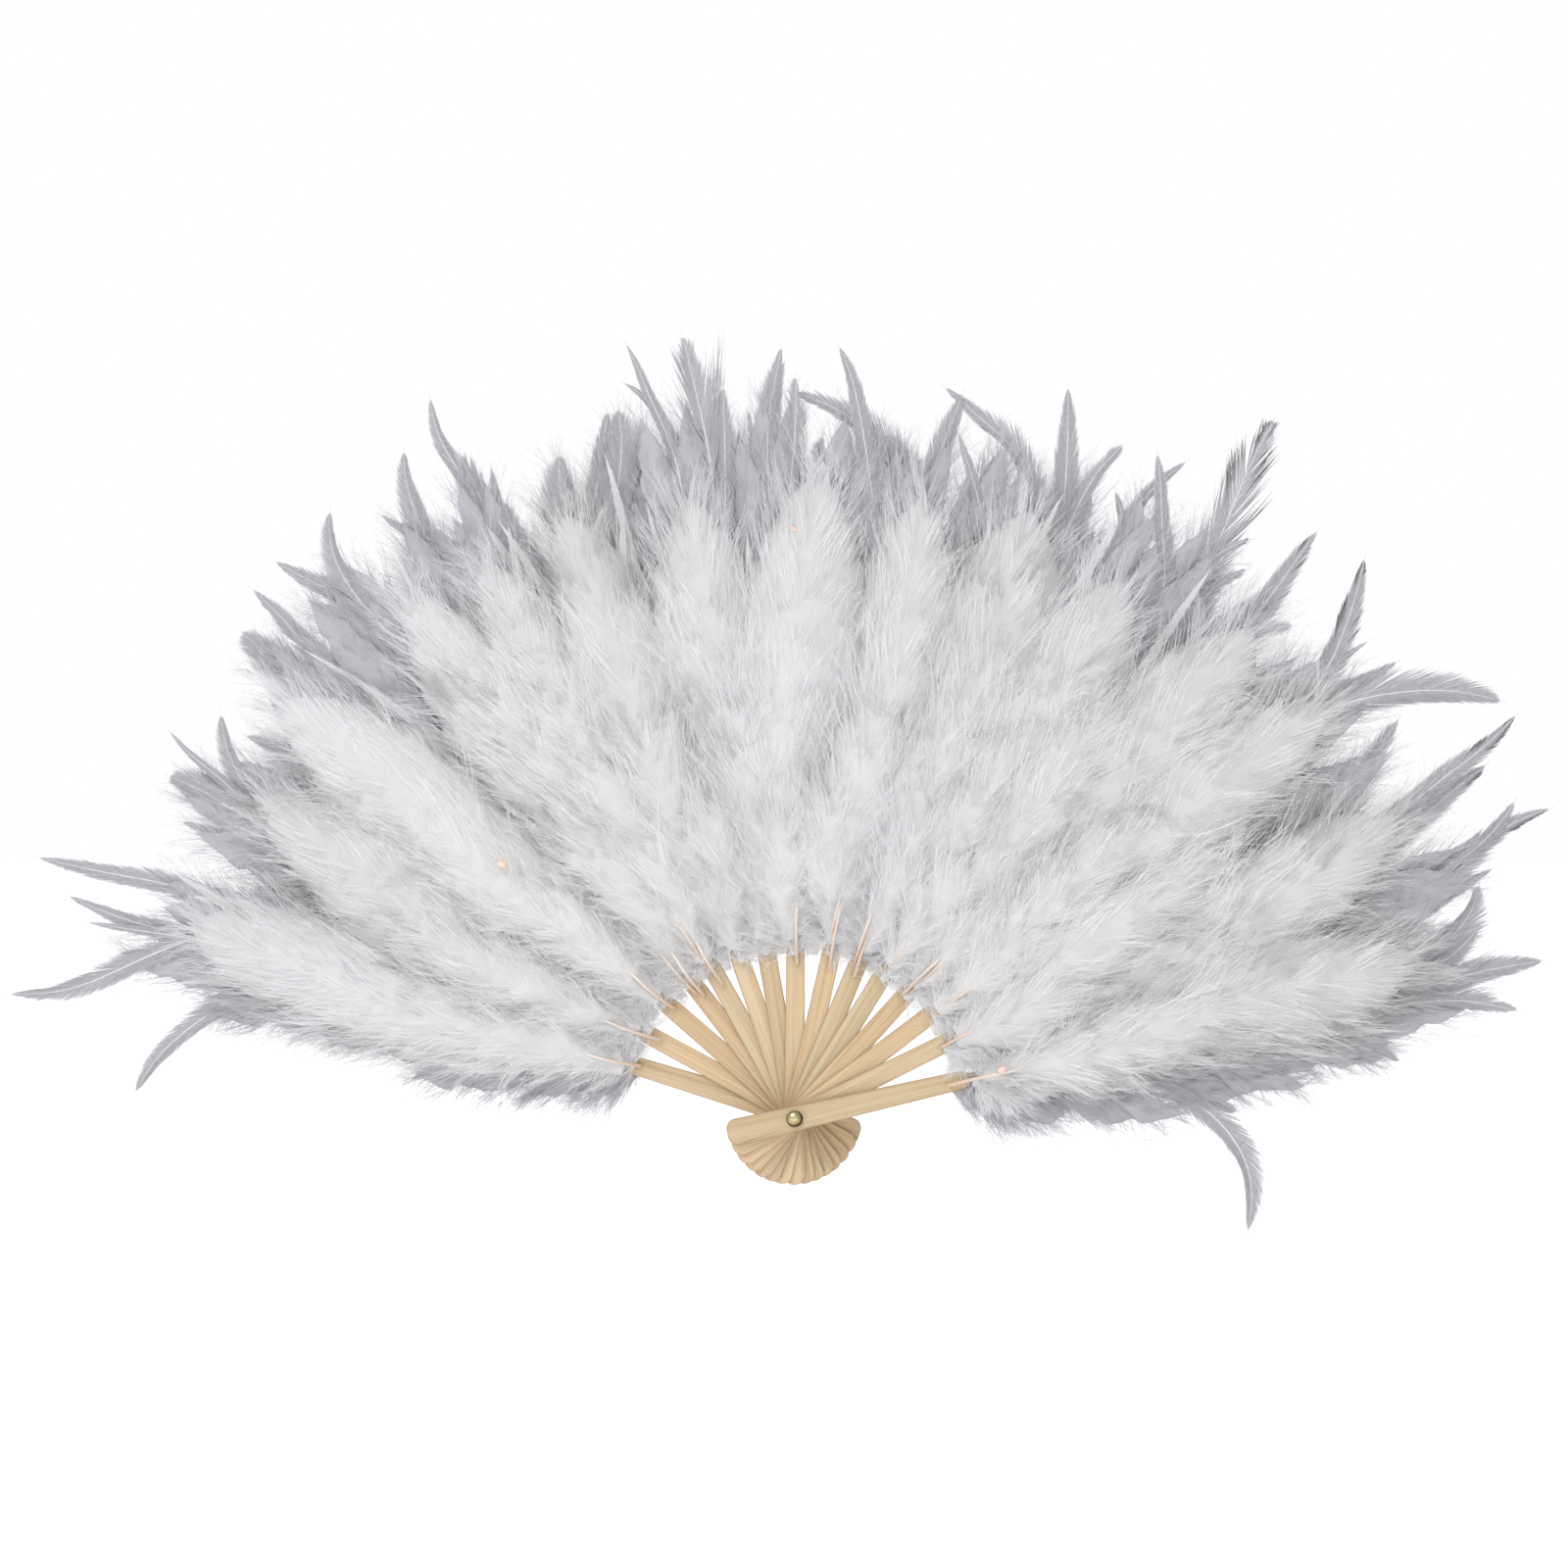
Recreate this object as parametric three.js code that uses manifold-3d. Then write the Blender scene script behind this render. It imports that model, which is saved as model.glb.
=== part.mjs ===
// A folding feather fan, standing open: fifteen bamboo staves on one rivet, each carrying
// a fluffy marabou plume and a few pointed hackle feathers.
// Millimetres and degrees. The fan lies in the XZ plane with its front towards -Y. The rivet's
// axis runs along Y, and the origin is the middle of the rivet's flat rear head.

import * as THREE from 'three';
import { mergeVertices } from 'three/addons/utils/BufferGeometryUtils.js';
import Module from 'manifold-3d';

const wasm = await Module();
wasm.setup();

// Where each stave points when the fan is open, from the rear guard on the left to the front
// guard on the right, from +X towards +Z. The staves lie in this order from back to front.
const OPEN_ANGLES = [
  163.1, 151.4, 139.1, 127.7, 119.2, 109.2, 99.7, 89.7, 77.4, 67.6, 58.1, 47.8, 37.2, 26.5, 13.0,
];

// Bamboo staves: a broad rounded tail, a taper past the rivet, a shoulder, then a thin rib.
// The inner staves have narrower tails with round ends, which make the scallops of the shell.
const TAIL_LENGTH = 20;
const TAIL_WIDTH = 6.2;
const TAIL_CORNER = 3;
const PIVOT_WIDTH = 6.4;
const GUARD_TAIL_WIDTH = 7.8;
const GUARD_TAIL_CORNER = 2.9;
const GUARD_PIVOT_WIDTH = 7.3;
const SHOULDER_REACH = 52;
const SHOULDER_WIDTH = 5.4;
const SHOULDER_LENGTH = 4;
const RIB_REACH = 118;
const RIB_WIDTH = 3;
const RIB_TIP_WIDTH = 1.8;
const RIB_THICKNESS = 0.35;
const STAVE_THICKNESS = 0.9;
const GUARD_THICKNESS = 1.6;
const STAVE_GAP = 0.3;

// Brass rivet and the washer behind the rear guard.
const SHANK_RADIUS = 1.1;
const BORE_CLEARANCE = 0.3;
const DOME_RADIUS = 2.4;
const DOME_HEIGHT = 1.5;
const PEEN_RADIUS = 2.3;
const PEEN_THICKNESS = 0.6;
const WASHER_RADIUS = 3.2;
const WASHER_THICKNESS = 0.4;

// Marabou plumes, one in front of each stave: a bare quill, then a crowned body of fluff.
const PLUME_REACH = 190;
const PLUME_CROWN = 11;
const PLUME_CLEARANCE = 0.4;
const PLUME_TIP_ROUND = 22;
const PLUME_FILL_LENGTH = 16;
const PLUME_OUTER_ANGLE = 7.5;
const QUILL_WIDTH = 1.2;
const QUILL_HEIGHT = 0.9;
const QUILL_BARE_LENGTH = 8;

// Hackle feathers, pressed flat behind the plume. Each row gives how far the tip leans from its
// stave in degrees, to the left when positive, how far it stands past the plume's end, and its
// width. A third pair of numbers, where given, is the lean and distance where it leaves the plume.
const HACKLE_THICKNESS = 0.35;
const HACKLE_CLEARANCE = 0.25;
const HACKLE_LAP = 30;
const HACKLE_SHAFT_WIDTH = 1.2;
const HACKLE_LEAVES_AT = -8;
const HACKLE_LEAVES_SHARE = 0.4;
const HACKLES = [
  [[-1.8, 46, 7], [0.1, 34, 7], [1.7, 26, 4], [8.2, 44, 7, [5.4, -6]], [15.4, 5, 6, [6.4, -17]]],
  [[-3.1, 26, 4], [0.2, 20, 11], [-6.6, 16, 7], [-5.9, 7, 8], [3.2, 11, 6]],
  [[-0.2, 27, 11], [-3.2, 33, 8], [-5.8, 34, 7]],
  [[-0.4, 34, 8, [2.3, 4]], [-3, 25, 5], [-7.4, 37, 8, [-2.6, 0]]],
  [[-2.4, 47, 6], [-2.4, 28, 10], [-4.2, 21, 5], [-3.9, 10, 7]],
  [[0.3, 16, 11], [-5.2, 24, 11], [-4.5, 24, 6]],
  [[2.7, 42, 5], [3.7, 31, 5], [-1.5, 41, 13], [-4.1, 25, 6]],
  [[4.1, 18, 4], [1.2, 36, 9], [0.2, 27, 7], [-2.2, 10, 8]],
  [[9.5, 36, 6, [3, 0]], [13.4, 22, 8, [1.8, 3]], [5.2, 12, 12]],
  [[9.3, 28, 7, [2.2, 2]], [11.1, 28, 7, [2.7, 11]], [2, 38, 8], [9.2, 16, 4, [2, 2]]],
  [[5.7, 29, 6], [5, 16, 5], [3.5, 31, 5], [0.9, 34, 5], [-2.6, 58, 13], [-6.5, 25, 5]],
  [[0.5, 40, 9], [-3.5, 15, 7], [2.5, 18, 6], [-3.1, 43, 9, [-3.6, 4]]],
  [[2.5, 28, 5], [-0.1, 31, 5], [-6.9, 49, 9], [-3.6, 22, 9]],
  [[2.8, 51, 7], [0.6, 37, 7], [-4.3, 49, 7], [-2.6, 40, 9], [-6.8, 27, 6]],
  [[6.1, 21, 9], [3.1, 18, 7], [-1.1, 33, 8], [-4.6, 23, 9], [-7.8, -13, 5, [-5, -26]],
    [-4.6, -10, 9, [-3.6, -24]]],
];

// One limp feather lies over the front guard's hackles and droops below the plume.
const DROOPING_FEATHER = [-27.8, -54, 5, [-6.1, -77]];

// The ribbon that links the ribs at the back and stops the fan opening further.
const RIBBON_WIDTH = 10;
const RIBBON_THICKNESS = 0.3;
const RIBBON_SETBACK = 13;
const RIBBON_CLEARANCE = 0.3;
const RIBBON_MARGIN = 0.6;

// How finely round stretches are divided.
const CORNER_STEPS = 5;
const BORE_SIDES = 12;
const RIVET_SIDES = 32;
const DOME_STEPS = 7;
const HACKLE_STATIONS = [0, 0.34, 0.56, 0.7, 0.82, 0.92, 1];
const PLUME_STATIONS = [0, 0.06, 0.14, 0.3, 0.5, 0.68, 0.8, 0.88, 0.94, 0.98, 1];

const LAST = OPEN_ANGLES.length - 1;
const rear = WASHER_THICKNESS + PEEN_THICKNESS + 2 * STAVE_GAP;

const bambooMaterial = new THREE.MeshStandardMaterial({ color: 0xdfc497, roughness: 0.55 });
const brassMaterial = new THREE.MeshStandardMaterial({ color: 0xd9bd84, roughness: 0.22, metalness: 1 });
const marabouMaterial = new THREE.MeshStandardMaterial({ color: 0xf1efec, roughness: 0.95 });
const hackleMaterial = new THREE.MeshStandardMaterial({ color: 0xaeb0b6, roughness: 0.7 });
const ribbonMaterial = new THREE.MeshStandardMaterial({ color: 0xf4f2ee, roughness: 0.45 });

function isGuard(stave) {
  return stave === 0 || stave === LAST;
}

function thicknessOf(stave) {
  return isGuard(stave) ? GUARD_THICKNESS : STAVE_THICKNESS;
}

// How far a stave's back face stands in front of the rivet's rear head.
function depthOf(stave) {
  let depth = rear;
  for (let behind = 0; behind < stave; behind++) {
    depth += thicknessOf(behind) + STAVE_GAP;
  }
  return depth;
}

// Half the angle to the next stave on the left (side 1) or on the right (side -1).
function halfBay(stave, side) {
  const neighbour = stave - side;
  if (neighbour < 0 || neighbour > LAST) {
    return THREE.MathUtils.degToRad(PLUME_OUTER_ANGLE);
  }
  return THREE.MathUtils.degToRad(Math.abs(OPEN_ANGLES[neighbour] - OPEN_ANGLES[stave])) / 2;
}

// A point on a stave's own axes: along it, across it to the left, and forward in depth.
function at(along, across, depth) {
  return new THREE.Vector3(along, -depth, across);
}

// A flat plate drawn along and across a stave, standing forward from the given depth.
function plate(shape, depth, thickness) {
  const options = { depth: thickness, bevelEnabled: false, curveSegments: CORNER_STEPS };
  const geometry = new THREE.ExtrudeGeometry(shape, options);
  geometry.rotateX(Math.PI / 2);
  geometry.translate(0, -depth, 0);
  return geometry;
}

// A closed body through rings of points. Seen from the end, each ring runs anticlockwise.
function loft(rings) {
  const sides = rings[0].length;
  const index = [];
  for (let ring = 0; ring + 1 < rings.length; ring++) {
    for (let side = 0; side < sides; side++) {
      const here = ring * sides + side;
      const next = ring * sides + ((side + 1) % sides);
      index.push(here, next, next + sides);
      index.push(here, next + sides, here + sides);
    }
  }
  const end = (rings.length - 1) * sides;
  for (let side = 1; side + 1 < sides; side++) {
    index.push(0, side + 1, side);
    index.push(end, end + side, end + side + 1);
  }
  const geometry = new THREE.BufferGeometry().setFromPoints(rings.flat());
  geometry.setIndex(index);
  geometry.computeVertexNormals();
  return geometry;
}

function toSolid(geometry) {
  const bare = geometry.clone();
  bare.deleteAttribute('normal');
  bare.deleteAttribute('uv');
  const merged = mergeVertices(bare);
  const vertProperties = new Float32Array(merged.attributes.position.array);
  const triVerts = new Uint32Array(merged.index.array);
  return new wasm.Manifold(new wasm.Mesh({ numProp: 3, vertProperties, triVerts }));
}

function join(geometries) {
  const solid = geometries.map(toSolid).reduce((whole, piece) => whole.add(piece));
  const mesh = solid.getMesh();
  const geometry = new THREE.BufferGeometry();
  geometry.setAttribute('position', new THREE.BufferAttribute(mesh.vertProperties, 3));
  geometry.setIndex(new THREE.BufferAttribute(mesh.triVerts, 1));
  geometry.computeVertexNormals();
  return geometry;
}

// The rivet hole, drawn so that its flats keep the full clearance from the shank.
function borePath() {
  const radius = (SHANK_RADIUS + BORE_CLEARANCE) / Math.cos(Math.PI / BORE_SIDES);
  const points = [];
  for (let side = 0; side < BORE_SIDES; side++) {
    const turn = (2 * Math.PI * side) / BORE_SIDES;
    points.push(new THREE.Vector2(radius * Math.cos(turn), radius * Math.sin(turn)));
  }
  return new THREE.Path(points);
}

// The broad part of a stave, from its rounded tail to the shoulder.
function bladeShape(stave) {
  const tail = (isGuard(stave) ? GUARD_TAIL_WIDTH : TAIL_WIDTH) / 2;
  const corner = isGuard(stave) ? GUARD_TAIL_CORNER : TAIL_CORNER;
  const pivot = (isGuard(stave) ? GUARD_PIVOT_WIDTH : PIVOT_WIDTH) / 2;
  const shoulder = SHOULDER_WIDTH / 2;
  const rib = RIB_WIDTH / 2;
  const bend = SHOULDER_LENGTH / 3;
  const shape = new THREE.Shape();
  shape.moveTo(SHOULDER_REACH, rib);
  shape.quadraticCurveTo(SHOULDER_REACH - bend, shoulder, SHOULDER_REACH - SHOULDER_LENGTH, shoulder);
  shape.lineTo(0, pivot);
  shape.lineTo(corner - TAIL_LENGTH, tail);
  shape.absarc(corner - TAIL_LENGTH, tail - corner, corner, Math.PI / 2, Math.PI);
  shape.absarc(corner - TAIL_LENGTH, corner - tail, corner, Math.PI, 1.5 * Math.PI);
  shape.lineTo(0, -pivot);
  shape.lineTo(SHOULDER_REACH - SHOULDER_LENGTH, -shoulder);
  shape.quadraticCurveTo(SHOULDER_REACH - bend, -shoulder, SHOULDER_REACH, -rib);
  shape.holes.push(borePath());
  return shape;
}

// The pared-down rib that runs on from the shoulder under the feathers.
function ribShape() {
  const rib = RIB_WIDTH / 2;
  const tip = RIB_TIP_WIDTH / 2;
  const root = SHOULDER_REACH - SHOULDER_LENGTH;
  const shape = new THREE.Shape();
  shape.moveTo(root, -rib);
  shape.lineTo(SHOULDER_REACH, -rib);
  shape.lineTo(RIB_REACH - tip, -tip);
  shape.quadraticCurveTo(RIB_REACH, -tip, RIB_REACH, 0);
  shape.quadraticCurveTo(RIB_REACH, tip, RIB_REACH - tip, tip);
  shape.lineTo(SHOULDER_REACH, rib);
  shape.lineTo(root, rib);
  return shape;
}

function staveGeometry(stave) {
  const depth = depthOf(stave);
  const blade = plate(bladeShape(stave), depth, thicknessOf(stave));
  const rib = plate(ribShape(), depth, RIB_THICKNESS);
  return join([blade, rib]);
}

// One slice across a plume: crowned at the front, thin at both edges, gently hollow behind.
function plumeRing(along, left, right, height, lift) {
  const edge = 0.4 * height;
  const across = (share) => (share > 0 ? share * left : share * right);
  const front = (share) => edge + (height - edge) * (1 - share * share);
  const back = (share) => edge * share * share;
  return [
    ...[1, 0.6, 0.2, -0.2, -0.6].map((share) => at(along, across(share), lift + front(share))),
    ...[-1, -0.5, 0.5].map((share) => at(along, across(share), lift + back(share))),
  ];
}

// How far a layer of flat feathers stands in front of a stave's back face.
function layerDepth(layer) {
  return RIB_THICKNESS + HACKLE_CLEARANCE + layer * (HACKLE_THICKNESS + HACKLE_CLEARANCE);
}

// A plume clears both its stave's broad part and the flat feathers on the rib.
function plumeDepth(stave) {
  const layers = stave === LAST ? 2 : 1;
  return depthOf(stave) + Math.max(thicknessOf(stave) + STAVE_GAP, layerDepth(layers));
}

function plumeGeometry(stave) {
  const lift = plumeDepth(stave);
  const quill = QUILL_WIDTH / 2;
  const base = SHOULDER_REACH;
  const rings = [
    plumeRing(base - QUILL_BARE_LENGTH, quill, quill, QUILL_HEIGHT, lift),
    plumeRing(base - QUILL_WIDTH, quill, quill, QUILL_HEIGHT, lift),
  ];
  const rounding = PLUME_REACH - PLUME_TIP_ROUND;
  for (const share of PLUME_STATIONS) {
    const along = base + share * (PLUME_REACH - base);
    const filled = Math.min(1, 0.3 + (along - base) / PLUME_FILL_LENGTH);
    const past = Math.max(0, along - rounding) / PLUME_TIP_ROUND;
    const rounded = Math.max(0.12, Math.sqrt(1 - past * past));
    const edgeOf = (side) => along * Math.tan(halfBay(stave, side)) - PLUME_CLEARANCE;
    const crown = PLUME_CROWN * (0.22 + 0.78 * Math.sin(Math.PI * share)) * Math.sqrt(rounded);
    const width = filled * rounded;
    rings.push(plumeRing(along, width * edgeOf(1), width * edgeOf(-1), crown, lift));
  }
  return loft(rings);
}

// A point at an angle from the stave, measured about the rivet, on the stave's own axes.
function leaning(lean, radius) {
  const turn = THREE.MathUtils.degToRad(lean);
  return new THREE.Vector3(radius * Math.cos(turn), 0, radius * Math.sin(turn));
}

// One leaf-shaped feather along its curved shaft, swelling towards the tip and then pointed.
function hackleGeometry([lean, beyond, width, leaves], depth) {
  const [leaveLean, leaveBeyond] = leaves ?? [lean * HACKLE_LEAVES_SHARE, HACKLE_LEAVES_AT];
  const shaft = new THREE.CatmullRomCurve3([
    at(RIB_REACH - HACKLE_LAP, 0, 0),
    leaning(leaveLean, PLUME_REACH + leaveBeyond),
    leaning(lean, PLUME_REACH + beyond),
  ]);
  const half = HACKLE_THICKNESS / 2;
  const rings = HACKLE_STATIONS.map((share) => {
    const centre = shaft.getPoint(share).setY(-depth - half);
    const along = shaft.getTangent(share);
    const swell = Math.sin(Math.PI * Math.pow(share, 2.2));
    const reach = (HACKLE_SHAFT_WIDTH + (width - HACKLE_SHAFT_WIDTH) * swell) / 2;
    const left = new THREE.Vector3(-along.z, 0, along.x).setLength(reach);
    const forward = new THREE.Vector3(0, -half, 0);
    return [
      centre.clone().add(left),
      centre.clone().add(forward),
      centre.clone().sub(left),
      centre.clone().sub(forward),
    ];
  });
  return loft(rings);
}

function hackleSprayGeometry(stave) {
  const depth = depthOf(stave) + layerDepth(0);
  return join(HACKLES[stave].map((row) => hackleGeometry(row, depth)));
}

function droopingGeometry() {
  return hackleGeometry(DROOPING_FEATHER, depthOf(LAST) + layerDepth(1));
}

// A slice of the ribbon at an angle about the rivet, with its front face at the given depth.
function ribbonRing(angle, depth) {
  const outer = RIB_REACH - RIBBON_SETBACK;
  const inner = outer - RIBBON_WIDTH;
  const out = new THREE.Vector3(Math.cos(angle), 0, Math.sin(angle));
  const point = (radius, forward) => out.clone().multiplyScalar(radius).setY(-forward);
  return [
    point(outer, depth - RIBBON_THICKNESS),
    point(outer, depth),
    point(inner, depth),
    point(inner, depth - RIBBON_THICKNESS),
  ];
}

// The ribbon lies flat behind each rib and slants forward across each bay to the next.
function ribbonGeometry() {
  const spread = (RIB_WIDTH / 2 + RIBBON_MARGIN) / (RIB_REACH - RIBBON_SETBACK);
  const rings = [];
  for (let stave = 0; stave <= LAST; stave++) {
    const angle = THREE.MathUtils.degToRad(OPEN_ANGLES[stave]);
    const depth = depthOf(stave) - RIBBON_CLEARANCE;
    rings.push(ribbonRing(angle + spread, depth));
    rings.push(ribbonRing(angle - spread, depth));
  }
  return loft(rings);
}

// A solid turned about the rivet's axis, from a profile that runs from front to back.
function turned(profile) {
  return new THREE.LatheGeometry(profile, RIVET_SIDES);
}

function rivetGeometry() {
  const seat = depthOf(LAST) + thicknessOf(LAST) + STAVE_GAP;
  const profile = [];
  for (let step = 0; step <= DOME_STEPS; step++) {
    const turn = (Math.PI / 2) * (step / DOME_STEPS);
    profile.push(new THREE.Vector2(DOME_RADIUS * Math.sin(turn), -seat - DOME_HEIGHT * Math.cos(turn)));
  }
  profile.push(new THREE.Vector2(SHANK_RADIUS, -seat));
  profile.push(new THREE.Vector2(SHANK_RADIUS, -PEEN_THICKNESS));
  profile.push(new THREE.Vector2(PEEN_RADIUS, -PEEN_THICKNESS));
  profile.push(new THREE.Vector2(PEEN_RADIUS, 0));
  profile.push(new THREE.Vector2(0, 0));
  return turned(profile);
}

function washerGeometry() {
  const front = PEEN_THICKNESS + STAVE_GAP + WASHER_THICKNESS;
  const back = PEEN_THICKNESS + STAVE_GAP;
  const bore = SHANK_RADIUS + BORE_CLEARANCE;
  return turned([
    new THREE.Vector2(bore, -front),
    new THREE.Vector2(WASHER_RADIUS, -front),
    new THREE.Vector2(WASHER_RADIUS, -back),
    new THREE.Vector2(bore, -back),
    new THREE.Vector2(bore, -front),
  ]);
}

function named(name, geometry, material) {
  const mesh = new THREE.Mesh(geometry, material.clone());
  mesh.name = name;
  return mesh;
}

function staveName(stave) {
  if (stave === 0) {
    return 'rear_guard';
  }
  return stave === LAST ? 'front_guard' : `stave_${twoDigits(stave)}`;
}

function twoDigits(stave) {
  return String(stave + 1).padStart(2, '0');
}

// A stave with its feathers, drawn along +X and turned to where it points.
function staveGroup(stave) {
  const group = new THREE.Group();
  const number = twoDigits(stave);
  group.add(named(staveName(stave), staveGeometry(stave), bambooMaterial));
  group.add(named(`marabou_plume_${number}`, plumeGeometry(stave), marabouMaterial));
  group.add(named(`hackle_feathers_${number}`, hackleSprayGeometry(stave), hackleMaterial));
  if (stave === LAST) {
    group.add(named('drooping_feather', droopingGeometry(), hackleMaterial));
  }
  group.rotation.y = -THREE.MathUtils.degToRad(OPEN_ANGLES[stave]);
  return group;
}

const fan = new THREE.Group();
fan.add(named('rivet', rivetGeometry(), brassMaterial));
fan.add(named('washer', washerGeometry(), brassMaterial));
fan.add(named('link_ribbon', ribbonGeometry(), ribbonMaterial));
OPEN_ANGLES.forEach((angle, stave) => fan.add(staveGroup(stave)));

export default fan;
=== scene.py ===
"""Finishes the folding feather fan: planed bamboo, brass, satin ribbon, marabou down and hackles.

Sizes in the property groups are in metres. Feathers are drawn on a stave's own axes: along the
stave from the rivet, across it to the left, and forward from the rivet's rear head.
"""

import math
from typing import NamedTuple

import bpy
import numpy as np
from bpy.props import FloatProperty, FloatVectorProperty, IntProperty, PointerProperty
from bpy.types import Operator, Panel, PropertyGroup
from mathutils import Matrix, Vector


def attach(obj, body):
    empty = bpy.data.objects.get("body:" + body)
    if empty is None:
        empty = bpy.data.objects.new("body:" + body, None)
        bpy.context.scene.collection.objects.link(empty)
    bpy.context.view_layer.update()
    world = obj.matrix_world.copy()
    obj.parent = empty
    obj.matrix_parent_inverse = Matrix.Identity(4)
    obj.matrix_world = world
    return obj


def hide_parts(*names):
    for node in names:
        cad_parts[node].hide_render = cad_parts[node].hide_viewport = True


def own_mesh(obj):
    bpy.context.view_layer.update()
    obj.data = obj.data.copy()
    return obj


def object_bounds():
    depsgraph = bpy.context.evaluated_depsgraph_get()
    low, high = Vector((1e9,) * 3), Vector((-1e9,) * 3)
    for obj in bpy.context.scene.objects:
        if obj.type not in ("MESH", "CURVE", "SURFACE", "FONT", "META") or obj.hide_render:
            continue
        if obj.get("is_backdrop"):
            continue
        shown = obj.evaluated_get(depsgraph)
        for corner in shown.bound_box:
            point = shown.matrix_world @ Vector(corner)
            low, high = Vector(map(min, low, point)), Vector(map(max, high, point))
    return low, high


bl_info = {
    "name": "Feather fan finish",
    "version": (1, 0, 0),
    "blender": (4, 5, 0),
    "location": "View3D > Sidebar > Fan",
    "description": "Dresses a folding fan in bamboo, brass, marabou down and hackle feathers",
    "category": "Object",
}

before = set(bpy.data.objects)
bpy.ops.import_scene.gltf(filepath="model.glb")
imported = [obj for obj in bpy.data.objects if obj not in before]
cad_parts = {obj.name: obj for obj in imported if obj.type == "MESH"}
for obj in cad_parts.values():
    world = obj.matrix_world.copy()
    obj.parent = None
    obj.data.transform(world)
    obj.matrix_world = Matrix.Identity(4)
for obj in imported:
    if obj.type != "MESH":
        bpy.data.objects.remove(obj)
CAD_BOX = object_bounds()

MM = 0.001
STRAND_MAP = "OFBake"
STAVES = ["rear_guard", *[f"stave_{number:02d}" for number in range(2, 15)], "front_guard"]
FORWARD = np.array([0.0, 0.0, 1.0])
WHOLE_TURN = 2 * math.pi

# Seeds of the random draws, to which each stave adds its own number.
PLUME_SEED = 100
SPRAY_SEED = 200
FRINGE_SEED = 300
WISP_SEED = 400
LINING_SEED = 500

# Feathers that would lie further back than the limit are eased forward, from a little before it.
REAR_LIMIT = -9.5 * MM
REAR_EASING = 3.5 * MM

# The ribbon's thickness, its gap behind the ribs and its sag between them.
RIBBON_THICKNESS = 0.25 * MM
RIBBON_GAP = 0.45 * MM
RIBBON_SAG = 1.2 * MM

# The part of the map's length that a strand, a tube or a bay of ribbon covers.
STRAND_RUN = (0.02, 0.98)
RIBBON_MARGIN = 0.03

# A feather's soft body: the share of it that its root takes, its ridges in mm from crest to crest,
# about one wave in radians, and the least half width that its outward directions are worked out from.
ROOT_SHARE = 0.16
RIDGES = (17, 9.5, 5.5)
WAVE = 6.3
LEAST_HALF = 0.4 * MM

# Down grows in tufts: how many along a feather and round it, how far tufts and single barbs splay,
# and how much single barbs differ in shade.
TUFT_ROWS = 26
TUFT_SIDES = 8
TUFT_SPLAY = 0.42
BARB_SPLAY = 0.12
BARB_SHADE = 0.03

# A hackle is tied this far below the rib's end, or below the first spot where it shows.
TIED_BELOW_RIB = 22 * MM
TIED_BELOW_SPOT = 30 * MM

# A hackle's shaft is drawn in steps between its spots and then eased; its barbs' lengths are
# halved in on, from the longest that a barb can be.
CURVE_STEPS = 24
EASINGS = 6
LONGEST_BARB = 40 * MM
HALVINGS = 14

# Where the grey down starts and where the lining between the ribs ends, from the rivet.
FRINGE_BASE = 95 * MM
LINING_REACH = 94 * MM

# How far plumes and grey down spread past the guards, in radians.
PLUME_OUTER = 0.12
FRINGE_OUTER = 0.1

# The key light, what it is turned to, and the camera's sensor in mm.
KEY_PLACE = (-0.6, -1.1, 1.2)
KEY_AIM = (0, 0, 0.09)
KEY_SIZE = 0.9
SENSOR_WIDTH = 36
WHITE = (1, 1, 1, 1)


class Hackle(NamedTuple):
    """One pointed feather: spots along its shaft, as degrees off the stave and mm past the plume.

    Its width is in mm. How blunt, ragged and sooty it is goes from 0 to about 1.
    """

    spots: tuple
    width: float
    blunt: float = 0.0
    ragged: float = 0.0
    soot: float = 0.0


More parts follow.
